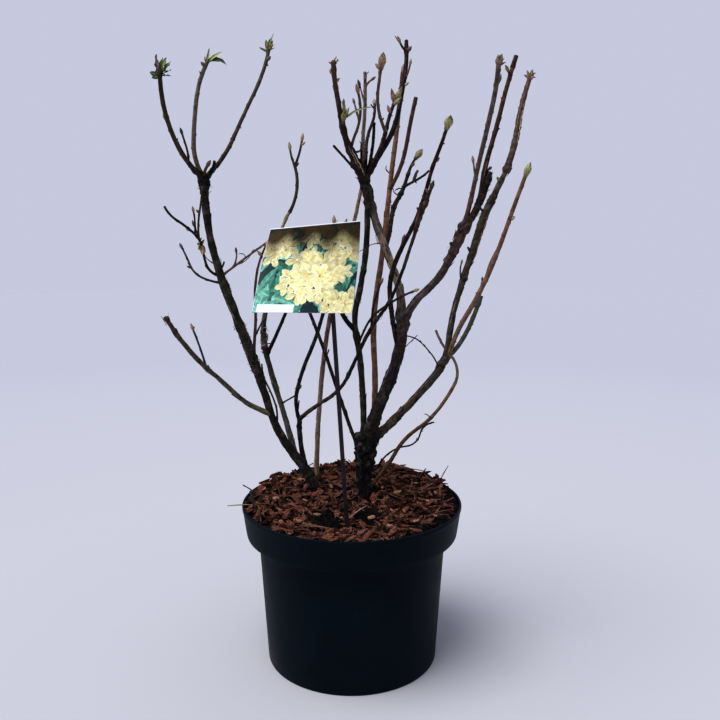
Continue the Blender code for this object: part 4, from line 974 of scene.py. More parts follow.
leafSpots = {  # share, then leaves: degrees right and back, length and width in mm, face, bend, paint
    "left_outer_shoot": (0.99, (
        (-10, -5, 23, 6, 30, -14, "bronze"), (12, 8, 20, 7, 20, 8, "green"), (24, -12, 21, 8, 30, -8, "green"),
        (38, 0, 20, 6.5, 35, -8, "darkGreen"), (62, -8, 15, 4, 60, -10, "darkGreen"), (86, 0, 13, 3.6, 60, -10, "darkGreen"),
        (-68, -12, 11, 7, 15, 20, "green"), (-104, -12, 9, 5, 15, 20, "darkGreen"), (4, 20, 14, 5, 40, 0, "olive"))),
    "left_middle_shoot": (0.99, (
        (20, 0, 18, 5, 40, 22, "green"), (52, 0, 23, 6, 38, -10, "yellowGreen"), (64, -12, 26, 10, 46, -92, "darkGreen"),
        (-12, -10, 8, 3.4, 30, 0, "tan"), (20, -24, 9, 3.4, 20, 14, "tan"), (6, 14, 10, 3.4, 50, 10, "bronze"))),
    "left_inner_shoot": (0.99, (
        (-60, 0, 13, 4, 50, 16, "green"), (10, -5, 17, 7, 28, -14, "green"), (14, -5, 24, 3, 40, -16, "green"),
        (30, 8, 14, 5, 48, -36, "yellowGreen"), (-16, -10, 13, 4, 20, 0, "tan"), (30, -20, 12, 4, 20, 10, "tan"),
        (52, 5, 10, 3, 40, -20, "tan"))),
    "crown_bud_stub": (0.9, ((50, -15, 38, 5, 52, -48, "olive"), (20, 10, 15, 2.8, 50, 12, "darkGreen"))),
    "right_inner_shoot": (0.99, (
        (-4, -5, 12, 5, 15, -12, "yellowGreen"), (16, 0, 13, 5.5, 15, 10, "olive"), (36, -10, 10, 4, 40, 8, "tan"),
        (-24, -10, 8, 3.4, 30, 0, "tan"), (58, 0, 9, 3, 30, -12, "bronze"))),
    "outer_top_shoot": (0.99, (
        (-66, -10, 10, 3.6, 30, 14, "tan"), (-26, -10, 11, 4, 20, 0, "tan"), (12, -16, 11, 4.4, 20, 0, "tan"),
        (44, 0, 11, 4, 40, -20, "bronze"), (80, 8, 9, 3.4, 30, -20, "tan"))),
    "crown_top_bud": (0.95, ((-34, -10, 12, 3.6, 60, 14, "yellowGreen"),)),
    "crown_top_shoot": (0.70, ((70, -10, 9, 4, 40, 24, "green"),)),
    "crown_left_shoot": (0.98, ((26, -10, 9, 3, 30, 0, "tan"), (64, -10, 8, 2.6, 30, 20, "tan"), (-62, 0, 6, 2.6, 30, 20, "tan"))),
    "crown_middle_shoot": (0.97, ((56, -10, 7, 2.4, 30, 20, "tan"),)),
    "left_upper_twig": (0.44, (
        (40, -20, 9, 4, 20, 20, "golden"), (170, -20, 15, 5, 10, 24, "golden"), (150, -20, 11, 5, 30, -30, "golden"),
        (-150, -20, 8, 4, 20, 20, "golden"), (-60, -20, 6, 3, 20, 20, "tan"))),
    "low_left_twig": (0.99, ((40, -10, 7, 3, 40, 60, "golden"),)),
    "crown_right_shoot": (0.98, ((58, -10, 12, 3.6, 40, 18, "yellowGreen"),)),
    "centre_fork": (0.97, ((30, -10, 10, 3, 50, -10, "yellowGreen"),)),
    "right_outer_bud": (0.8, ((-30, -10, 9, 3.4, 40, 8, "yellowGreen"),)),
}
knots = ("left_knot", "crown_knot", "right_knot", "right_dead_stub")
peelingShoots = {"right_outer_shoot": 0.5, "outer_top_shoot": 0.5, "right_inner_shoot": 0.3, "far_right_stub": 0.5,
                 "crown_left_shoot": 0.7, "right_dead_stub": 1.0, "crown_knot": 1.0, "right_knot": 1.0, "left_knot": 1.0,
                 "knotty_shoot": 0.5, "back_top_shoot": 0.2}
restingBuds = {"spacing": 0.019, "chance": 0.45, "size": (0.20, 0.36)}

shootPile, budPile, leafPile = newPile(), newPile(), newPile()
taken = []
for order, (mass, shoots) in enumerate(masses.items()):
    dice = random.Random(spurRule["seed"] + order)
    finer = random.Random(500 + order)
    for name in shoots:
        growLimb(shootPile, name, "gnarled" if name in knots else "shoot", peelingShoots.get(name, 0.0))
        for strip in deadWood["strips"]:
            if strip[0] == name:
                addStrip(shootPile, *strip)
        along, across, other = wayOn(name, 1.0)
        tip = pointOn(name, 1.0)
        if name not in bluntTips:
            width = min(max(1.5 * limbs[name]["thick"][-1], 3.0), budSize["width"] / mm)
            length, width = bigBuds.get(name, (2.4 * width, width))
            addBud(budPile, tip, along, length * mm, width * mm, tipPaints.get(name, "russet"), finer,
                   8 if name in bigBuds else 5)
        for root, end, way, size in [] if name in bareShoots else spursOf(name, taken, dice):
            half = spurRule["thickness"] / 2
            steps = [root.lerp(end, s) for s in (0, 0.2, 0.4, 0.6, 0.8, 1)]
            addSkin(shootPile, steps, [half * w for w in (1.5, 1.1, 0.95, 1.0, 0.85, 0.8)], 8, tintsOf(name, 1),
                    reliefOf("shoot", name, 1.0))
            addBud(budPile, end, way, budSize["length"] * size, budSize["width"] * size,
                   finer.choice(("russet", "tan", "brown")), finer, 5)
        for _ in range(sourceLeaves.get(name, 0)):
            dice.random()  # spends a throw of the dice for each listed leaf, which fixes where the spurs fall
        if name not in knots:  # small resting buds at the joints
            count = int(limbs[name]["length"] / restingBuds["spacing"])
            turn = finer.uniform(0, 360)
            for k in range(1, count):
                turn += 137.5
                if finer.random() > restingBuds["chance"]:
                    continue
                share = (k + finer.uniform(-0.25, 0.25)) / count
                along, across, other = wayOn(name, share)
                out = across * math.cos(math.radians(turn)) + other * math.sin(math.radians(turn))
                root = pointOn(name, share) + out * radiusOn(name, share) * 0.8
                size = finer.uniform(*restingBuds["size"])
                addBud(budPile, root, (along * 0.7 + out * 0.75).normalized(), budSize["length"] * size,
                       budSize["width"] * size, finer.choice(("russet", "brown", "brown")), finer, 3)
for name in fineTwigs:
    growLimb(shootPile, name, "shoot")
for name, spots in sideBuds.items():
    for order, (share, right, back, length, width, paint) in enumerate(spots):
        foot = pointOn(name, share) + heading(right, back) * radiusOn(name, share) * 0.6
        addBud(budPile, foot, heading(right, back), length * mm, width * mm, paint, random.Random(order + len(name)), 6)
for name, (share, leaves) in leafSpots.items():
    for right, back, length, width, face, bend, paint in leaves:
        addLeaf(leafPile, pointOn(name, share), heading(right, back), length * mm, width * mm, face, bend, paint,
                0.55 if name == "left_outer_shoot" else 0.15)

place(pileObject("shoots", shootPile, [youngBark]), "twigs", *masses)
place(pileObject("buds", budPile, [waxyMaterial("waxyBudScales", 0.5, 0.22, 700)], keys=("tint",)), "twigs")
place(pileObject("youngLeaves", leafPile, [waxyMaterial("youngLeafBlade", 0.42, 0.16, 420)], keys=("tint",)), "twigs")
print("twigs, buds and leaves ready:", len(shootPile["faces"]), len(budPile["faces"]), len(leafPile["faces"]))


# Pot

pot = {
    "height": 0.210, "sides": 160, "baseRadius": 0.1115, "bodyTopRadius": 0.1215, "collarHeight": 0.040,
    "collarFootRadius": 0.1365, "rimRadius": 0.1420, "wall": 0.0025, "floor": 0.0030, "edge": 0.0015,
    "holes": 8, "holeRadius": 0.0070, "holeRing": 0.0850,
}


def collarRadius(height):
    share = (height - pot["height"] + pot["collarHeight"]) / pot["collarHeight"]
    return pot["collarFootRadius"] + (pot["rimRadius"] - pot["collarFootRadius"]) * share


def buildPot():
    collarFoot = pot["height"] - pot["collarHeight"]
    edge = pot["edge"]
    wall = pot["wall"]
    low, top = pot["baseRadius"], pot["bodyTopRadius"]
    rim, height = pot["rimRadius"], pot["height"]
    profile = [(0, 0), (low * 0.80, 0), (low * 0.80 + 0.001, 0.0012), (low * 0.90, 0.0012), (low * 0.90 + 0.001, 0)]
    profile += [(low - edge, 0), (low - edge * 0.3, edge * 0.3), (low, edge)]
    for k in range(1, 9):  # the body, widening evenly up to the collar
        share = k / 9
        profile.append((low + (top - low) * share, edge + (collarFoot - 2 * edge) * share))
    profile += [(top, collarFoot - edge), (top + edge * 0.3, collarFoot - edge * 0.3), (top + edge, collarFoot)]
    foot = pot["collarFootRadius"]
    profile += [(foot - edge, collarFoot), (foot - edge * 0.3, collarFoot + edge * 0.3), (foot, collarFoot + edge)]
    for level in (0.176, 0.182, 0.190, 0.198, 0.2035):
        profile.append((collarRadius(level), level))
    profile += [(collarRadius(0.2048) + 0.0002, 0.2048), (rim - 0.0001, 0.2056), (rim, 0.2065), (rim, 0.2085)]
    profile += [(rim - 0.0005, 0.2096), (rim - 0.0014, height), (rim - wall + 0.0002, height), (rim - wall - 0.0006, 0.2092)]
    profile += [(collarRadius(0.2050) - wall, 0.2050), (collarRadius(0.198) - wall, 0.198)]
    ledge = collarFoot + wall
    profile += [(foot - wall, ledge), (top - wall, ledge), (low + 0.0002 - wall, pot["floor"]), (0, pot["floor"])]
    shape = bmesh.new()
    sides = pot["sides"]
    loops = []
    for radius, z in profile[1:-1]:
        loops.append([shape.verts.new((radius * math.cos(2 * math.pi * k / sides),
                                       radius * math.sin(2 * math.pi * k / sides), z)) for k in range(sides)])
    for lower, upper in zip(loops, loops[1:]):
        for k in range(sides):
            shape.faces.new((lower[k], lower[(k + 1) % sides], upper[(k + 1) % sides], upper[k]))
    for loop, z in ((loops[0], 0), (loops[-1], pot["floor"])):
        middle = shape.verts.new((0, 0, z))
        for k in range(sides):
            shape.faces.new((loop[k], loop[(k + 1) % sides], middle))
    bmesh.ops.recalc_face_normals(shape, faces=shape.faces[:])
    data = bpy.data.meshes.new("nurseryPot")
    shape.to_mesh(data)
    shape.free()
    made = newObject("nurseryPot", data)
    drills = bpy.data.collections.new("drills")
    bpy.context.scene.collection.children.link(drills)
    for k in range(pot["holes"]):
        turn = 2 * math.pi * (k + 0.5) / pot["holes"]
        shape = bmesh.new()
        bmesh.ops.create_cone(shape, cap_ends=True, segments=24, radius1=pot["holeRadius"],
                              radius2=pot["holeRadius"], depth=4 * pot["floor"])
        bmesh.ops.translate(shape, verts=shape.verts[:], vec=(math.cos(turn) * pot["holeRing"], math.sin(turn) * pot["holeRing"], 0))
        drillData = bpy.data.meshes.new("drill")
        shape.to_mesh(drillData)
        shape.free()
        drills.objects.link(bpy.data.objects.new("drill", drillData))
    cut = made.modifiers.new("drainHoles", "BOOLEAN")
    cut.operation = "DIFFERENCE"
    cut.operand_type = "COLLECTION"
    cut.collection = drills
    cut.solver = "EXACT"
    bpy.context.view_layer.update()
    result = bpy.data.meshes.new_from_object(made.evaluated_get(bpy.context.evaluated_depsgraph_get()))
    made.modifiers.remove(cut)
    made.data = result
    for drill in list(drills.objects):
        bpy.data.objects.remove(drill)
    bpy.data.collections.remove(drills)
    result.shade_smooth()
    result.set_sharp_from_angle(angle=math.radians(35))
    return made


def potMaterial():
    # recycled polypropylene, moulded: near black, semi-matt, with scuffs and a little dust
    made, tree, surface = newMaterial("mouldedPolypropylene", {"IOR": 1.49, "Specular IOR Level": 0.06})
    where = addNode(tree, "ShaderNodeTexCoord")
    dust = addNode(tree, "ShaderNodeTexNoise", {"Scale": 14, "Detail": 6, "Roughness": 0.6},
                   {"Vector": where.outputs["Object"]})
    tree.links.new(ramp(tree, dust.outputs["Fac"], [(0.35, "#010b14"), (0.60, "#03101a"), (0.80, "#0b1923")]),
                   surface.inputs["Base Color"])
    rough = addNode(tree, "ShaderNodeMapRange", {"From Min": 0.3, "From Max": 0.7, "To Min": 0.38, "To Max": 0.56},
                    {"Value": dust.outputs["Fac"]})
    tree.links.new(rough.outputs["Result"], surface.inputs["Roughness"])
    grain = addNode(tree, "ShaderNodeTexNoise", {"Scale": 1400, "Detail": 2}, {"Vector": where.outputs["Object"]})
    bump = addNode(tree, "ShaderNodeBump", {"Strength": 0.12, "Distance": 0.0002}, {"Height": grain.outputs["Fac"]})
    tree.links.new(bump.outputs["Normal"], surface.inputs["Normal"])
    return made


potPiece = buildPot()
potPiece.data.materials.clear()
potPiece.data.materials.append(potMaterial())
place(potPiece, "pot_plastic", "pot")
print("pot ready")


# Potting mix and bark mulch

mulch = {
    "level": 0.2055, "heap": 0.0170, "heapStart": -0.046, "heapDepth": 0.192, "edge": 0.0060, "lump": 0.0014,
    "waves": ((150, 1.3, 126, 0.0), (168, 1.7, 109, 0.8)), "rings": 60, "sides": 180, "sunk": 0.0022, "bank": 0.0026,
    "dent": 0.0065, "dentX": -0.004, "dentY": -0.082, "rightBank": 0.0070, "bankX": 0.118, "bankY": 0.050,
}


def peatMaterial():
    # black peat: damp crumbs, no shine
    made, tree, surface = newMaterial("peatMix", {"Roughness": 0.95, "Specular IOR Level": 0.15})
    where = addNode(tree, "ShaderNodeTexCoord")
    crumb = addNode(tree, "ShaderNodeTexNoise", {"Scale": 420, "Detail": 6, "Roughness": 0.7},
                    {"Vector": where.outputs["Object"]})
    tree.links.new(ramp(tree, crumb.outputs["Fac"], [(0.35, "#050403"), (0.6, "#120c0a"), (0.8, "#251a15")]),
                   surface.inputs["Base Color"])
    bump = addNode(tree, "ShaderNodeBump", {"Strength": 0.9, "Distance": 0.0012}, {"Height": crumb.outputs["Fac"]})
    tree.links.new(bump.outputs["Normal"], surface.inputs["Normal"])
    return made


def mulchTop(x, y):
    climb = min(max((y - mulch["heapStart"]) / mulch["heapDepth"], 0.0), 1.0)
    inside = (collarRadius(mulch["level"]) - pot["wall"] - 0.0003 - math.hypot(x, y)) / mulch["edge"]
    edge = math.sin(min(max(inside, 0.0), 1.0) * math.pi / 2)
    wave = 0.0
    for (ahead, beside), (rate, reach, wander, start) in zip(((x, y), (y, x)), mulch["waves"]):
        wave += math.sin(ahead * rate + reach * math.sin(beside * wander) + start)
    dent = math.exp(-((x - mulch["dentX"]) / 0.020) ** 2 - ((y - mulch["dentY"]) / 0.026) ** 2)  # round the stake's foot
    bank = mulch["rightBank"] * math.exp(-((x - mulch["bankX"]) / 0.024) ** 2 - ((y - mulch["bankY"]) / 0.040) ** 2)
    return mulch["level"] + (mulch["heap"] * climb + mulch["lump"] * wave + bank - mulch["dent"] * dent) * edge


def buildMulchBed():
    pile = newPile()
    edgeRadius = collarRadius(mulch["level"]) - pot["wall"] - 0.0003
    bottom = 0.1906
    loops = []
    for radius in [collarRadius(bottom) - pot["wall"] - 0.0003] + [edgeRadius * (1 - k / mulch["rings"]) for k in range(mulch["rings"])]:
        loop = []
        for k in range(mulch["sides"]):
            turn = 2 * math.pi * k / mulch["sides"]
            x, y = radius * math.cos(turn), radius * math.sin(turn)
            z = bottom
            if loops:
                crumb = noise.noise(Vector((x, y, 0)) / 0.004) + 0.6 * noise.noise(Vector((x, y, 3)) / 0.0017)
                z = mulchTop(x, y) - mulch["sunk"] + 0.0012 * crumb
            loop.append(addPoint(pile, (x, y, z)))
        loops.append(loop)
    for lower, upper in zip(loops, loops[1:]):
        for k in range(mulch["sides"]):
            after = (k + 1) % mulch["sides"]
            addFace(pile, (lower[k], lower[after], upper[after], upper[k]), 0)
    for loop, z, last in ((loops[0], bottom, False), (loops[-1], mulchTop(0, 0) - mulch["sunk"], True)):
        middle = addPoint(pile, (0, 0, z))
        for k in range(mulch["sides"]):
            after = (k + 1) % mulch["sides"]
            addFace(pile, (loop[k], loop[after], middle) if last else (loop[after], loop[k], middle), 0)
    return pileObject("mulchBed", pile, [peat], keys=())


peat = peatMaterial()
mixNode = frame["nodes"]["potting_mix"]
mixNode.data.materials.clear()
mixNode.data.materials.append(peat)
bed = place(buildMulchBed(), "bark_mulch", "bark_mulch")


def scatterTree():
    # scatters shapes over a surface, laid flat on it, each turned, tilted, lifted and sized at random
    tree = bpy.data.node_groups.new("scatter", "GeometryNodeTree")
    for label, kind in (("Surface", "Geometry"), ("Shapes", "Collection"), ("Cover", "String"), ("Density", "Float"),
                        ("Gap", "Float"), ("Smallest", "Vector"), ("Largest", "Vector"), ("Tilt", "Vector"),
                        ("Lift Low", "Vector"), ("Lift High", "Vector"), ("Follow", "Float"), ("Seed", "Int"),
                        ("Finish", "Material")):
        tree.interface.new_socket(label, in_out="INPUT", socket_type="NodeSocket" + kind)
    tree.interface.new_socket("Geometry", in_out="OUTPUT", socket_type="NodeSocketGeometry")
    given = tree.nodes.new("NodeGroupInput").outputs
    cover = addNode(tree, "GeometryNodeInputNamedAttribute", {"data_type": "FLOAT"}, {"Name": given["Cover"]})
    spots = addNode(tree, "GeometryNodeDistributePointsOnFaces", {"distribute_method": "POISSON"},
                    {"Mesh": given["Surface"], "Distance Min": given["Gap"], "Density Max": given["Density"],
                     "Density Factor": cover.outputs["Attribute"], "Seed": given["Seed"]})
    seeds = [addNode(tree, "FunctionNodeIntegerMath", {"operation": "ADD", 1: step}, {0: given["Seed"]}).outputs[0]
             for step in (7, 19)]
    lift = addNode(tree, "FunctionNodeRandomValue", {"data_type": "FLOAT_VECTOR"},
                   {0: given["Lift Low"], 1: given["Lift High"], "Seed": seeds[1]})
    lifted = addNode(tree, "GeometryNodeSetPosition", links={"Geometry": spots.outputs["Points"],
                                                             "Offset": lift.outputs[0]})
    grain = addNode(tree, "GeometryNodeInputNamedAttribute", {"data_type": "FLOAT_VECTOR", "Name": "limbWay"})
    laid = addNode(tree, "FunctionNodeAlignRotationToVector", {"axis": "X", "pivot_axis": "Z"},
                   {"Rotation": spots.outputs["Rotation"], "Factor": given["Follow"],
                    "Vector": grain.outputs["Attribute"]})
    back = addNode(tree, "ShaderNodeVectorMath", {"operation": "SCALE", "Scale": -1.0}, {0: given["Tilt"]})
    tilt = addNode(tree, "FunctionNodeRandomValue", {"data_type": "FLOAT_VECTOR"},
                   {0: back.outputs[0], 1: given["Tilt"], "Seed": given["Seed"]})
    turned = addNode(tree, "FunctionNodeEulerToRotation", links={0: tilt.outputs[0]})
    rotation = addNode(tree, "FunctionNodeRotateRotation", {"rotation_space": "LOCAL"},
                       {0: laid.outputs[0], 1: turned.outputs[0]})
    size = addNode(tree, "FunctionNodeRandomValue", {"data_type": "FLOAT_VECTOR"},
                   {0: given["Smallest"], 1: given["Largest"], "Seed": seeds[0]})
    shapes = addNode(tree, "GeometryNodeCollectionInfo", {"Separate Children": True, "Reset Children": True},
                     {"Collection": given["Shapes"]})
    laidOut = addNode(tree, "GeometryNodeInstanceOnPoints", {"Pick Instance": True},
                      {"Points": lifted.outputs[0], "Instance": shapes.outputs[0],
                       "Rotation": rotation.outputs[0], "Scale": size.outputs[0]})
    real = addNode(tree, "GeometryNodeRealizeInstances", links={0: laidOut.outputs[0]})
    painted = addNode(tree, "GeometryNodeSetMaterial", links={"Geometry": real.outputs[0],
                                                              "Material": given["Finish"]})
    out = tree.nodes.new("NodeGroupOutput")
    tree.links.new(painted.outputs[0], out.inputs[0])
    return tree


def scatter(name, tree, surface, values):
    holder = newObject(name, surface.data)
    growth = holder.modifiers.new("scatter", "NODES")
    growth.node_group = tree
    for item in tree.interface.items_tree:
        if item.in_out == "INPUT" and item.name in values:
            growth[item.identifier] = values[item.name]
    bpy.context.view_layer.update()
    result = bpy.data.meshes.new_from_object(holder.evaluated_get(bpy.context.evaluated_depsgraph_get()))
    holder.modifiers.remove(growth)
    holder.data = result
    for extra in [a.name for a in result.attributes if a.name in ("limbWay", "limbPlace", "limbTint", "cover")]:
        result.attributes.remove(result.attributes[extra])
    return holder


def shapesOf(makers):  # a short-lived collection of shapes for the scatter tree to pick from
    group = bpy.data.collections.new("shapes")
    bpy.context.scene.collection.children.link(group)
    for shape in makers:
        bmesh.ops.recalc_face_normals(shape, faces=shape.faces[:])
        data = bpy.data.meshes.new("shape")
        shape.to_mesh(data)
        shape.free()
        group.objects.link(bpy.data.objects.new("shape", data))
    return group


def dropShapes(group):
    for shape in list(group.objects):
        bpy.data.objects.remove(shape)
    bpy.data.collections.remove(group)


def chipShape(seed, corners):  # a flat split piece of bark, one unit long, wide and thick, a little bent
    dice = random.Random(seed)
    shape = bmesh.new()
    outline = []
    for k in range(corners):
        turn = 2 * math.pi * (k + dice.uniform(-0.32, 0.32)) / corners
        reach = dice.uniform(0.38, 0.60)
        outline.append((math.cos(turn) * reach, math.sin(turn) * reach))
    bend, lean = dice.uniform(-1.2, 1.6), dice.uniform(-0.5, 0.5)
    rings = []
    for height, inset in ((-0.5, 0.90), (0.05, 1.0), (0.5, 0.86)):
        ring = []
        for x, y in outline:
            z = height + bend * x * x + lean * y + dice.uniform(-0.14, 0.14)
            ring.append(shape.verts.new((x * inset, y * inset, z)))
        rings.append(ring)
    for lower, upper in zip(rings, rings[1:]):
        for k in range(corners):
            shape.faces.new((lower[k], lower[(k + 1) % corners], upper[(k + 1) % corners], upper[k]))
    for ring, height in ((rings[0], -0.5), (rings[-1], 0.5 + dice.uniform(-0.1, 0.3))):
        middle = shape.verts.new((dice.uniform(-0.15, 0.15), dice.uniform(-0.12, 0.12), height))
        for k in range(corners):
            shape.faces.new((ring[k], ring[(k + 1) % corners], middle))
    return shape


def chipMaterial(name, base, light, dark):
    # chipped pine bark: layered, dull, with paler torn fibres
    made, tree, surface = newMaterial(name, {"Roughness": 0.85, "Specular IOR Level": 0.1})
    where = addNode(tree, "ShaderNodeTexCoord")
    layers = addNode(tree, "ShaderNodeTexNoise", {"Scale": 520, "Detail": 5, "Roughness": 0.65},
                     {"Vector": where.outputs["Object"]})
    tree.links.new(ramp(tree, layers.outputs["Fac"], [(0.32, dark), (0.5, base), (0.70, light)]),
                   surface.inputs["Base Color"])
    bump = addNode(tree, "ShaderNodeBump", {"Strength": 0.6, "Distance": 0.0006}, {"Height": layers.outputs["Fac"]})
    tree.links.new(bump.outputs["Normal"], surface.inputs["Normal"])
    return made


chipLayers = {  # piece: colours, per square metre, gap, size low and high, lift low and high (mm), tilt, corners
    # the lowest layer's colours are darkened as painted shade in the gaps between the chips above
    "chipsDeep": (("#120604", "#220f0a", "#050201"), 12000, 6.0, (9, 4, 1.4), (22, 10, 3.2), (-3.5, -1.5), 20, 6, "cover"),
    "chipsDark": (("#2a140f", "#4e2c24", "#0c0404"), 8000, 7.5, (8, 3, 1.2), (27, 10, 3.0), (-1.5, 2.5), 36, 7, "cover"),
    "chipsRusset": (("#5a3327", "#94604f", "#1f0f0b"), 5600, 9.6, (8, 3.4, 1.2), (28, 12, 3.0), (-1, 4), 34, 6, "cover"),
    "chipsBrown": (("#563828", "#946f5d", "#1f130e"), 5600, 9.6, (8, 3, 1.0), (26, 10, 2.8), (-1, 4), 36, 5, "cover"),
    "chipsPale": (("#8a5f49", "#b4886f", "#543b2f"), 900, 18, (6, 3, 1.0), (15, 7, 2.2), (0, 3), 34, 7, "cover"),
    "shards": (("#44281f", "#825747", "#130906"), 15000, 5.4, (4, 1.2, 0.7), (13, 3.2, 1.6), (-0.5, 3.5), 42, 5, "cover"),
    "splinters": (("#5c4032", "#957060", "#33221b"), 5200, 8.0, (14, 1.0, 0.9), (34, 2.0, 1.6), (0, 4), 20, 5, "cover"),
    "peatCrumbs": (("#080605", "#14100d", "#030202"), 60000, 2.6, (1.5, 1.5, 1.5), (5, 4, 4), (-1, 1), 180, 5, "peat"),
}
peatPatches = {  # where the mulch has been scraped off the black mix: x, y, reach along each, in mm
    "leftOfStake": (-30, -61, 23, 30), "rightOfStake": (20, -50, 18, 25), "frontRim": (86, -86, 21, 13),
    "rightRim": (108, -62, 18, 16), "rightBlot": (90, -42, 9, 10), "rightEdge": (129, 12, 10, 26),
    "trunkFoot": (11, 0, 13, 10), "backRight": (112, 70, 16, 9), "back": (-36, 126, 16, 8), "backLeft": (-83, 98, 14, 10),
}
looseChips = (  # x, y, length, width, thickness in mm and degrees round
    (-42, -50, 11, 8, 2.6, 20), (-99, -2, 13, 10, 2.8, 70), (-69, 56, 14, 8, 2.4, -20), (79, -66, 12, 7, 2.4, 35),
    (25, -54, 12, 9, 2.4, -30), (60, 22, 14, 10, 2.6, 10), (-62, -72, 13, 7, 2.4, 55), (46, -92, 10, 6, 2.0, -15))
looseSticks = (  # two ends in mm, thickness in mm and colour
    ((117, 50, 213), (134, 80, 231), 1.3, "#3a2f28"), ((-136, 22, 214), (-124, -30, 211.5), 3.4, "#100d0b"),
    ((-133, -2, 213), (-119, -44, 211), 2.6, "#14100e"), ((-2, -62, 209), (18, -30, 212), 1.8, "#9a7a62"),
    ((92, -60, 210), (124, -44, 213), 1.3, "#5c4636"), ((-60, -90, 209), (-24, -102, 211), 1.5, "#6c5040"),
    ((62, 96, 222), (98, 80, 224), 1.6, "#4a3428"), ((-120, -24, 211), (-157, -34, 214), 1.5, "#8a6f55"),
    ((-126, 12, 214), (-146, 26, 221), 1.6, "#1a1512"))
scatterNodes = scatterTree()


def peatAt(x, y):  # 1 where the peat shows, 0 under the mulch
    ragged = 0.35 * noise.noise(Vector((x, y, 0)) / 0.009)
    reach = min(math.hypot((x / mm - px) / rx, (y / mm - py) / ry) for px, py, rx, ry in peatPatches.values())
    return min(max((1.05 - reach + ragged) / 0.25, 0.0), 1.0)


def keepInPot(piece):  # chips that would pass through the pot's wall are pushed back inside it
    for point in piece.data.vertices:
        x, y, z = point.co
        if z < pot["height"] + 0.001:
            limit = collarRadius(z) - pot["wall"] - 0.0004
            reach = math.hypot(x, y)
            if reach > limit:
                point.co.x = x * limit / reach
                point.co.y = y * limit / reach
    return piece


def buildChips():
    field = newPile()
    peatField = newPile()
    edgeRadius = collarRadius(mulch["level"]) - pot["wall"] - 0.004
    rings, sides = 40, 120
    for pile, bare in ((field, False), (peatField, True)):
        loops = []
        for ring in range(1, rings + 1):
            loop = []
            for k in range(sides):
                turn = 2 * math.pi * k / sides
                x, y = edgeRadius * ring / rings * math.cos(turn), edgeRadius * ring / rings * math.sin(turn)
                patch = peatAt(x, y)
                bank = mulch["bank"] * (y < 0.0) * min(max((ring / rings - 0.80) / 0.2, 0.0), 1.0)
                loop.append(addPoint(pile, (x, y, mulchTop(x, y) - 0.0012 + bank), cover=patch if bare else 1 - patch))
            loops.append(loop)
        addFace(pile, loops[0])
        for inner, outer in zip(loops, loops[1:]):
            for k in range(sides):
                after = (k + 1) % sides
                addFace(pile, (inner[k], outer[k], outer[after], inner[after]))
    surfaces = {"cover": pileObject("chipField", field, [peat], keys=()),
                "peat": pileObject("peatField", peatField, [peat], keys=())}
    for order, (name, look) in enumerate(chipLayers.items()):
        colours, density, gap, low, high, lift, tilt, corners, ground = look
        shapes = shapesOf([chipShape(40 + order * 5 + k, corners) for k in range(4)])
        piece = scatter(name, scatterNodes, surfaces[ground], {
            "Shapes": shapes, "Cover": "cover", "Density": float(density), "Gap": gap * mm,
            "Smallest": tuple(s * mm for s in low), "Largest": tuple(s * mm for s in high),
            "Tilt": (math.radians(tilt), math.radians(tilt), math.pi), "Follow": 0.0, "Seed": 3 + order,
            "Lift Low": (0.0, 0.0, lift[0] * mm), "Lift High": (0.0, 0.0, lift[1] * mm),
            "Finish": chipMaterial(name, *colours)})
        dropShapes(shapes)
        keepInPot(piece)
        place(piece, "bark_mulch")
    for surface in surfaces.values():
        bpy.data.objects.remove(surface)


def buildLooseBits():  # the few chips and sticks that stand out on top
    pile = newPile()
    for seed, (x, y, long, wide, thick, turn) in enumerate(looseChips):
        shape = chipShape(90 + seed, 6)
        turned = Matrix.Rotation(math.radians(turn), 3, "Z") @ Matrix.Rotation(math.radians(10 - 4 * (seed % 6)), 3, "Y")
        middle = Vector((x * mm, y * mm, mulchTop(x * mm, y * mm) + 0.0025))
        numbers = {}
        bmesh.ops.recalc_face_normals(shape, faces=shape.faces[:])
        for corner in shape.verts:
            sized = Vector((corner.co.x * long, corner.co.y * wide, corner.co.z * thick)) * mm
            numbers[corner] = addPoint(pile, middle + turned @ sized)
        for face in shape.faces:
            addFace(pile, [numbers[corner] for corner in face.verts])
        shape.free()
    place(keepInPot(pileObject("looseChips", pile, [chipMaterial("splitHeartwood", "#8a6650", "#b28e76", "#5c4232")],
                               smooth=False, keys=())), "bark_mulch")
    pile = newPile()
    for start, end, thick, colour in looseSticks:
        start, end = Vector(start) * mm, Vector(end) * mm
        bow = Vector((0, 0, 0.08 * (end - start).length))
        points = [start.lerp(end, k / 12) + bow * math.sin(math.pi * k / 12) * 0.4 for k in range(13)]
        radii = [thick / 2 * mm * (0.55 + 0.45 * math.sin(math.pi * (k + 2) / 15)) for k in range(13)]
        addSkin(pile, points, radii, 7, [linear(colour)[:3]], reliefOf("shoot", colour, 1.0))
    place(pileObject("looseSticks", pile, [youngBark]), "bark_mulch")


buildChips()
buildLooseBits()
print("mulch ready")


# Peeling strips of bark on the old limbs, and tufts of torn fibre round the burls

flakes = {"density": 4800, "gap": 0.0040, "low": (5, 0.8, 0.6), "high": (17, 2.0, 1.7), "tilt": (8, 12, 9)}
tufts = {  # torn fibre: limb, from, to, how thick it stands
    "density": 60000, "gap": 0.0009, "low": (5, 0.4, 0.6), "high": (13, 0.8, 2.2), "tilt": (40, 14, 55),
    "spots": (("left_stem", 0.45, 0.60, 1.0), ("left_stem", 0.69, 0.73, 0.6), ("inner_stem", 0.42, 0.52, 1.0),
              ("crown_left_shoot", 0.0, 0.16, 0.4), ("right_dead_stub", 0.7, 0.98, 0.8), ("left_stem", 0.96, 1.0, 0.5)),
}


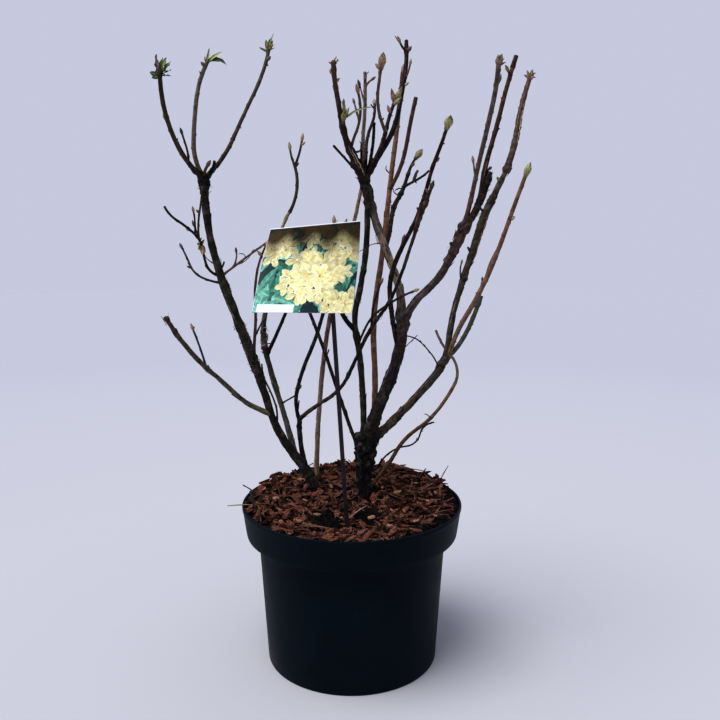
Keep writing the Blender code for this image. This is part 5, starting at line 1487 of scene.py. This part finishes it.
def flakeShape(sweep):  # a thin strip, lifted at one end
    shape = bmesh.new()
    rows = []
    for along, lift in ((-0.5, 0.0), (-0.2, 0.10), (0.1, 0.18), (0.34, 0.36), (0.5, 0.62)):
        wide = 0.5 * (1 - abs(along) * 0.9)
        rows.append([shape.verts.new((along, side * wide + sweep * along * along, lift + thick))
                     for side, thick in ((-1, 0), (1, 0), (1, 0.28), (-1, 0.28))])
    for lower, upper in zip(rows, rows[1:]):
        for k in range(4):
            shape.faces.new((lower[k], upper[k], upper[(k + 1) % 4], lower[(k + 1) % 4]))
    shape.faces.new(rows[0])
    shape.faces.new(rows[-1])
    return shape


def buildFlakes():
    tuftPile = newPile()
    for name, start, end, cover in tufts["spots"]:
        steps = 12
        shares = [start + (end - start) * k / steps for k in range(steps + 1)]
        first = len(tuftPile["points"])
        addSkin(tuftPile, [pointOn(name, share) for share in shares], [radiusOn(name, share) for share in shares], 14,
                [(0, 0, 0)])
        for k in range(first, len(tuftPile["points"])):
            tuftPile["cover"][k] = cover
    tuftSurface = pileObject("tuftSurface", tuftPile, [youngBark])
    jobs = {
        "leftStemFlakes": (bpy.data.objects["leftStemBark"], flakes, ("#3a2f28", "#6b5a4c", "#1a1410")),
        "trunkFlakes": (bpy.data.objects["trunkBark"], flakes, ("#2c2420", "#5a4a40", "#120e0c")),
        "shootFlakes": (bpy.data.objects["shoots"], flakes, ("#4a3a30", "#8a705c", "#221a15")),
        "fibreTufts": (tuftSurface, tufts, ("#4a3c31", "#86705c", "#201915")),
    }
    for order, (name, (surface, look, colours)) in enumerate(jobs.items()):
        shapes = shapesOf([flakeShape(sweep) for sweep in ((0.0,) if look is flakes else (-2.5, 0.5, 3.0))])
        piece = scatter(name, scatterNodes, surface, {
            "Shapes": shapes, "Cover": "cover", "Density": float(look["density"]), "Gap": look["gap"],
            "Smallest": tuple(s * mm for s in look["low"]), "Largest": tuple(s * mm for s in look["high"]),
            "Tilt": tuple(math.radians(t) for t in look["tilt"]), "Follow": 1.0, "Seed": 21 + order,
            "Lift Low": (0.0, 0.0, 0.0), "Lift High": (0.0, 0.0, 0.0), "Finish": chipMaterial(name, *colours)})
        dropShapes(shapes)
        place(piece, "twigs" if name == "shootFlakes" else "old_bark")
    bpy.data.objects.remove(tuftSurface)


buildFlakes()
print("bark strips ready")


# Picture card and its stake

card = {
    "width": 0.112, "height": 0.100, "thickness": 0.0008, "foot": (-0.055, -0.100, 0.4665), "lean": (23, -13),
    "turn": (9, -23), "roll": (-1.5, 4.7), "slant": 8.5, "columns": 200, "rows": 180,
}


def cardPoint(across, up):
    steps = 24
    foot = Vector(card["foot"])
    slant = math.tan(math.radians(card["slant"]))
    for k in range(steps):
        lean = math.radians(between(card["lean"], up * (k + 0.5) / steps))
        rise = math.cos(lean) * card["height"] * up / steps
        foot += Vector((slant * rise, math.sin(lean) * card["height"] * up / steps, rise))
    roll = math.radians(between(card["roll"], up))
    turn = math.radians(between(card["turn"], up))
    side = Vector((math.cos(turn) * math.cos(roll), math.sin(turn), math.sin(roll))).normalized()
    rise = Vector((slant, math.tan(math.radians(between(card["lean"], up))), 1)).normalized()
    return foot + side * card["width"] * across, side, rise, side.cross(rise).normalized()


prints = {
    "seed": 8, "leaves": 130, "trusses": ((0.58, 0.42, 0.31, 26), (0.14, 0.82, 0.17, 8), (0.86, 0.76, 0.20, 10),
                                         (0.88, 0.10, 0.14, 6), (0.50, 0.97, 0.16, 4)),
    "petal": 0.125, "deep": "#1a3238", "teal": "#2b7462", "leaf": "#7fc4ab", "yellow": "#fcf6bc",
    # the last colour darkens the print's top: partly the print's own darker top, partly painted shade
    "gold": "#f3e284", "cream": "#fffff0", "shade": "#b39a48", "printTopAndShade": "#3f3219",
}


def paintPrint(u, v):  # a made-up picture of yellow azalea blossom over dark leaves, as linear colours
    dice = random.Random(prints["seed"])
    tone = {key: np.array(linear(prints[key])[:3]) for key in ("deep", "teal", "leaf", "yellow", "gold", "cream", "shade", "printTopAndShade")}
    colour = np.tile(tone["deep"], (len(u), 1))
    aspect = card["height"] / card["width"]
    y = v * aspect
    for _ in range(prints["leaves"]):  # pointed leaves with a pale midrib and side veins
        cx, cy, turn = dice.random(), dice.random() * aspect, dice.uniform(0, math.pi)
        long, wide = dice.uniform(0.08, 0.17), dice.uniform(0.030, 0.052)
        a = (u - cx) * math.cos(turn) + (y - cy) * math.sin(turn)
        b = -(u - cx) * math.sin(turn) + (y - cy) * math.cos(turn)
        inside = (np.abs(a) < long) & (np.abs(b) < wide * np.clip(1 - (a / long) ** 2, 0, 1))
        shade = tone["teal"] + (tone["leaf"] - tone["teal"]) * dice.random()
        veins = 0.85 + 0.15 * np.cos((a[inside] - 0.7 * np.abs(b[inside])) / 0.011)
        veins += 1.1 * np.exp(-(b[inside] / 0.003) ** 2)
        veins += 0.5 * (np.sin(b[inside] / 0.0028 + 9 * cx) > 0.93)
        side = np.where(b[inside] > 0, 1.0, 0.72)
        colour[inside] = shade * (veins * side)[:, None]
    blossoms = []
    for tx, ty, reach, count in prints["trusses"]:
        for k in range(count):
            angle = 2.4 * k + dice.uniform(-0.3, 0.3)
            out = reach * math.sqrt((k + 0.4) / count)
            blossoms.append((out / reach, tx + out * math.cos(angle), ty * aspect + out * 0.82 * math.sin(angle)))
    for far, cx, cy in sorted(blossoms, reverse=True):  # the middle of a truss lies over its rim
        turn = dice.uniform(0, 2 * math.pi)
        size = prints["petal"] * dice.uniform(0.8, 1.1)
        light = dice.uniform(0.90, 1.16) * (1.10 - 0.24 * far)
        if dice.random() < 0.45:  # a dark gap between the flowers
            gapX, gapY = cx + dice.uniform(-0.6, 0.6) * size, cy + dice.uniform(-0.6, 0.6) * size
            lean = dice.uniform(-0.6, 0.6)
            a, b = u - gapX, y - gapY - lean * (u - gapX)
            colour[(a / 0.034) ** 2 + (b / 0.013) ** 2 < 1] = tone[dice.choice(("deep", "teal", "deep"))]
        for petal in range(5):
            way = turn + petal * 2 * math.pi / 5 + dice.uniform(-0.15, 0.15)
            px, py = cx + math.cos(way) * size * 0.5, cy + math.sin(way) * size * 0.5
            a = ((u - px) * math.cos(way) + (y - py) * math.sin(way)) / (size * 0.52)
            b = (-(u - px) * math.sin(way) + (y - py) * math.cos(way)) / (size * 0.36)
            ruffle = 1 + 0.10 * np.sin(a * 9 + petal * 2.1)
            width = np.clip(1 - np.abs(a) ** 1.6, 0, 1) ** 0.9 * ruffle * (0.75 + 0.35 * a)
            inside = (np.abs(a) < 1) & (np.abs(b) < width)
            mix = np.clip(0.45 + 0.55 * a[inside], 0, 1)[:, None]
            shade = tone["gold"] * (1 - mix) + tone["yellow"] * mix
            rim = np.clip(np.abs(b[inside]) / np.maximum(width[inside], 0.05) * 1.5 - 0.75, 0, 1)[:, None]
            shade = shade * (1 - rim * 0.7) + tone["cream"] * rim * 0.7
            fold = 1 - 0.22 * np.exp(-(b[inside] / 0.07) ** 2) - 0.10 * (b[inside] < 0)
            petalLight = light * dice.uniform(0.86, 1.06)
            colour[inside] = shade * (petalLight * fold)[:, None]
        throat = (u - cx) ** 2 + (y - cy) ** 2 < (size * 0.10) ** 2
        colour[throat] = tone["shade"]
        for stamen in range(4):
            way = turn + 0.5 * stamen + dice.uniform(-0.1, 0.1)
            a = (u - cx) * math.cos(way) + (y - cy) * math.sin(way)
            b = -(u - cx) * math.sin(way) + (y - cy) * math.cos(way) - 0.6 * a ** 2 / size
            colour[(a > 0) & (a < size * 0.75) & (np.abs(b) < 0.0022)] = tone["cream"]
            colour[(np.abs(a - size * 0.75) < 0.006) & (np.abs(b) < 0.004)] = tone["shade"]
    blotch = 1 + 0.16 * np.sin(u * 37 + 3 * np.sin(y * 29)) * np.sin(y * 41 + 2 * np.sin(u * 31))
    printTopAndShade = np.clip((v - 0.64 + 0.05 * np.sin(u * 21)) / 0.24, 0, 1)[:, None] ** 0.8  # darker brown towards the top: partly the print's own darker top, partly painted shade for the shade over the card's top
    colour = colour * blotch[:, None] * (1 - printTopAndShade * (1 - tone["printTopAndShade"]))
    white = (u > 0.035) & (u < 0.41) & (v < 0.100)  # a bare white panel in the corner
    colour[white] = linear("#e6ebf0")[:3]
    border = (u < 0.005) | (v > 0.990)
    colour[border] = linear("#e4e6ea")[:3]
    return colour


def buildCard():
    pile = newPile()
    columns, rows = card["columns"], card["rows"]
    half = card["thickness"] / 2
    front, back = [], []
    spots = []
    for row in range(rows + 1):
        up = row / rows
        middle, side, _, out = cardPoint(0, up)
        front.append([])
        back.append([])
        for column in range(columns + 1):
            across = column / columns - 0.5
            at = middle + side * card["width"] * across
            front[-1].append(addPoint(pile, at + out * half))
            spots.append((column / columns, up))
            back[-1].append(addPoint(pile, at - out * half))
            spots.append((column / columns, up))
    for row in range(rows):
        for column in range(columns):
            addFace(pile, (front[row][column], front[row][column + 1], front[row + 1][column + 1], front[row + 1][column]), 0)
            addFace(pile, (back[row][column], back[row + 1][column], back[row + 1][column + 1], back[row][column + 1]), 1)
    rim = [(0, k) for k in range(columns)] + [(k, columns) for k in range(rows)]
    rim += [(rows, k) for k in range(columns, 0, -1)] + [(k, 0) for k in range(rows, 0, -1)]
    for (r, c), (r2, c2) in zip(rim, rim[1:] + rim[:1]):
        addFace(pile, (back[r][c], back[r2][c2], front[r2][c2], front[r][c]), 1)
    spots = np.array(spots)
    colours = paintPrint(spots[:, 0], spots[:, 1])
    piece = pileObject("pictureCard", pile, [printMaterial(), cardBackMaterial()], keys=())
    ink = piece.data.attributes.new("ink", "FLOAT_COLOR", "POINT")
    ink.data.foreach_set("color", np.hstack([colours, np.ones((len(colours), 1))]).astype(np.float32).reshape(-1))
    return piece


def printMaterial():
    # offset print on coated card: a thin gloss over the inks
    made, tree, surface = newMaterial("coatedPrint", {"Roughness": 0.42, "IOR": 1.5, "Specular IOR Level": 0.25})
    ink = addNode(tree, "ShaderNodeAttribute", {"attribute_name": "ink"})
    tree.links.new(ink.outputs["Color"], surface.inputs["Base Color"])
    where = addNode(tree, "ShaderNodeTexCoord")
    ripple = addNode(tree, "ShaderNodeTexNoise", {"Scale": 60, "Detail": 3}, {"Vector": where.outputs["Object"]})
    bump = addNode(tree, "ShaderNodeBump", {"Strength": 0.08, "Distance": 0.002}, {"Height": ripple.outputs["Fac"]})
    tree.links.new(bump.outputs["Normal"], surface.inputs["Normal"])
    return made


def cardBackMaterial():
    # uncoated white board
    made, tree, surface = newMaterial("whiteBoard", {"Roughness": 0.6})
    where = addNode(tree, "ShaderNodeTexCoord")
    pulp = addNode(tree, "ShaderNodeTexNoise", {"Scale": 700, "Detail": 4}, {"Vector": where.outputs["Object"]})
    tree.links.new(ramp(tree, pulp.outputs["Fac"], [(0.3, "#dcdee0"), (0.7, "#eceef0")]), surface.inputs["Base Color"])
    return made


place(buildCard(), "printed_card", "picture_card")

stake = {
    "foot": (-0.0045, -0.0730, 0.1903), "width": 0.0050, "thickness": 0.0016, "headWidth": 0.0090,
    "across": 0.22, "heights": (0.48, 0.53, 0.58),
}


def buildStake():
    behind = (card["thickness"] + stake["thickness"]) / 2 + 0.0003
    stations = []
    for up in stake["heights"]:
        point, side, _, out = cardPoint(stake["across"], up)
        stations.append((point - out * behind, side, out, stake["headWidth"]))
    neck, side, out, _ = stations[0]
    for share in (0.97, 0.75, 0.5, 0.25, 0.0):
        stations.insert(0, (Vector(stake["foot"]).lerp(neck, share), side, out, stake["width"]))
    pile = newPile()
    rings = []
    for middle, side, out, width in stations:
        half, deep, cut = width / 2, stake["thickness"] / 2, 0.0003
        outline = ((-half + cut, -deep), (half - cut, -deep), (half, -deep + cut), (half, deep - cut),
                   (half * 0.35, deep), (0, deep - 0.0003), (-half * 0.35, deep), (-half, deep - cut), (-half, -deep + cut))
        rings.append([addPoint(pile, middle + side * u + out * w) for u, w in outline])
    count = len(rings[0])
    for lower, upper in zip(rings, rings[1:]):
        for k in range(count):
            addFace(pile, (lower[k], lower[(k + 1) % count], upper[(k + 1) % count], upper[k]), 0)
    addFace(pile, tuple(reversed(rings[0])), 0)
    addFace(pile, tuple(rings[-1]), 0)
    made, tree, surface = newMaterial("extrudedStyrene", {"IOR": 1.55, "Specular IOR Level": 0.2})  # black label stake, lightly dusty
    where = addNode(tree, "ShaderNodeTexCoord")
    dust = addNode(tree, "ShaderNodeTexNoise", {"Scale": 120, "Detail": 5}, {"Vector": where.outputs["Object"]})
    tree.links.new(ramp(tree, dust.outputs["Fac"], [(0.4, "#181218"), (0.75, "#292126")]), surface.inputs["Base Color"])
    rough = addNode(tree, "ShaderNodeMapRange", {"To Min": 0.4, "To Max": 0.65}, {"Value": dust.outputs["Fac"]})
    tree.links.new(rough.outputs["Result"], surface.inputs["Roughness"])
    return pileObject("labelStake", pile, [made], smooth=False, keys=())


place(buildStake(), "stake_plastic", "label_stake")
print("card and stake ready")
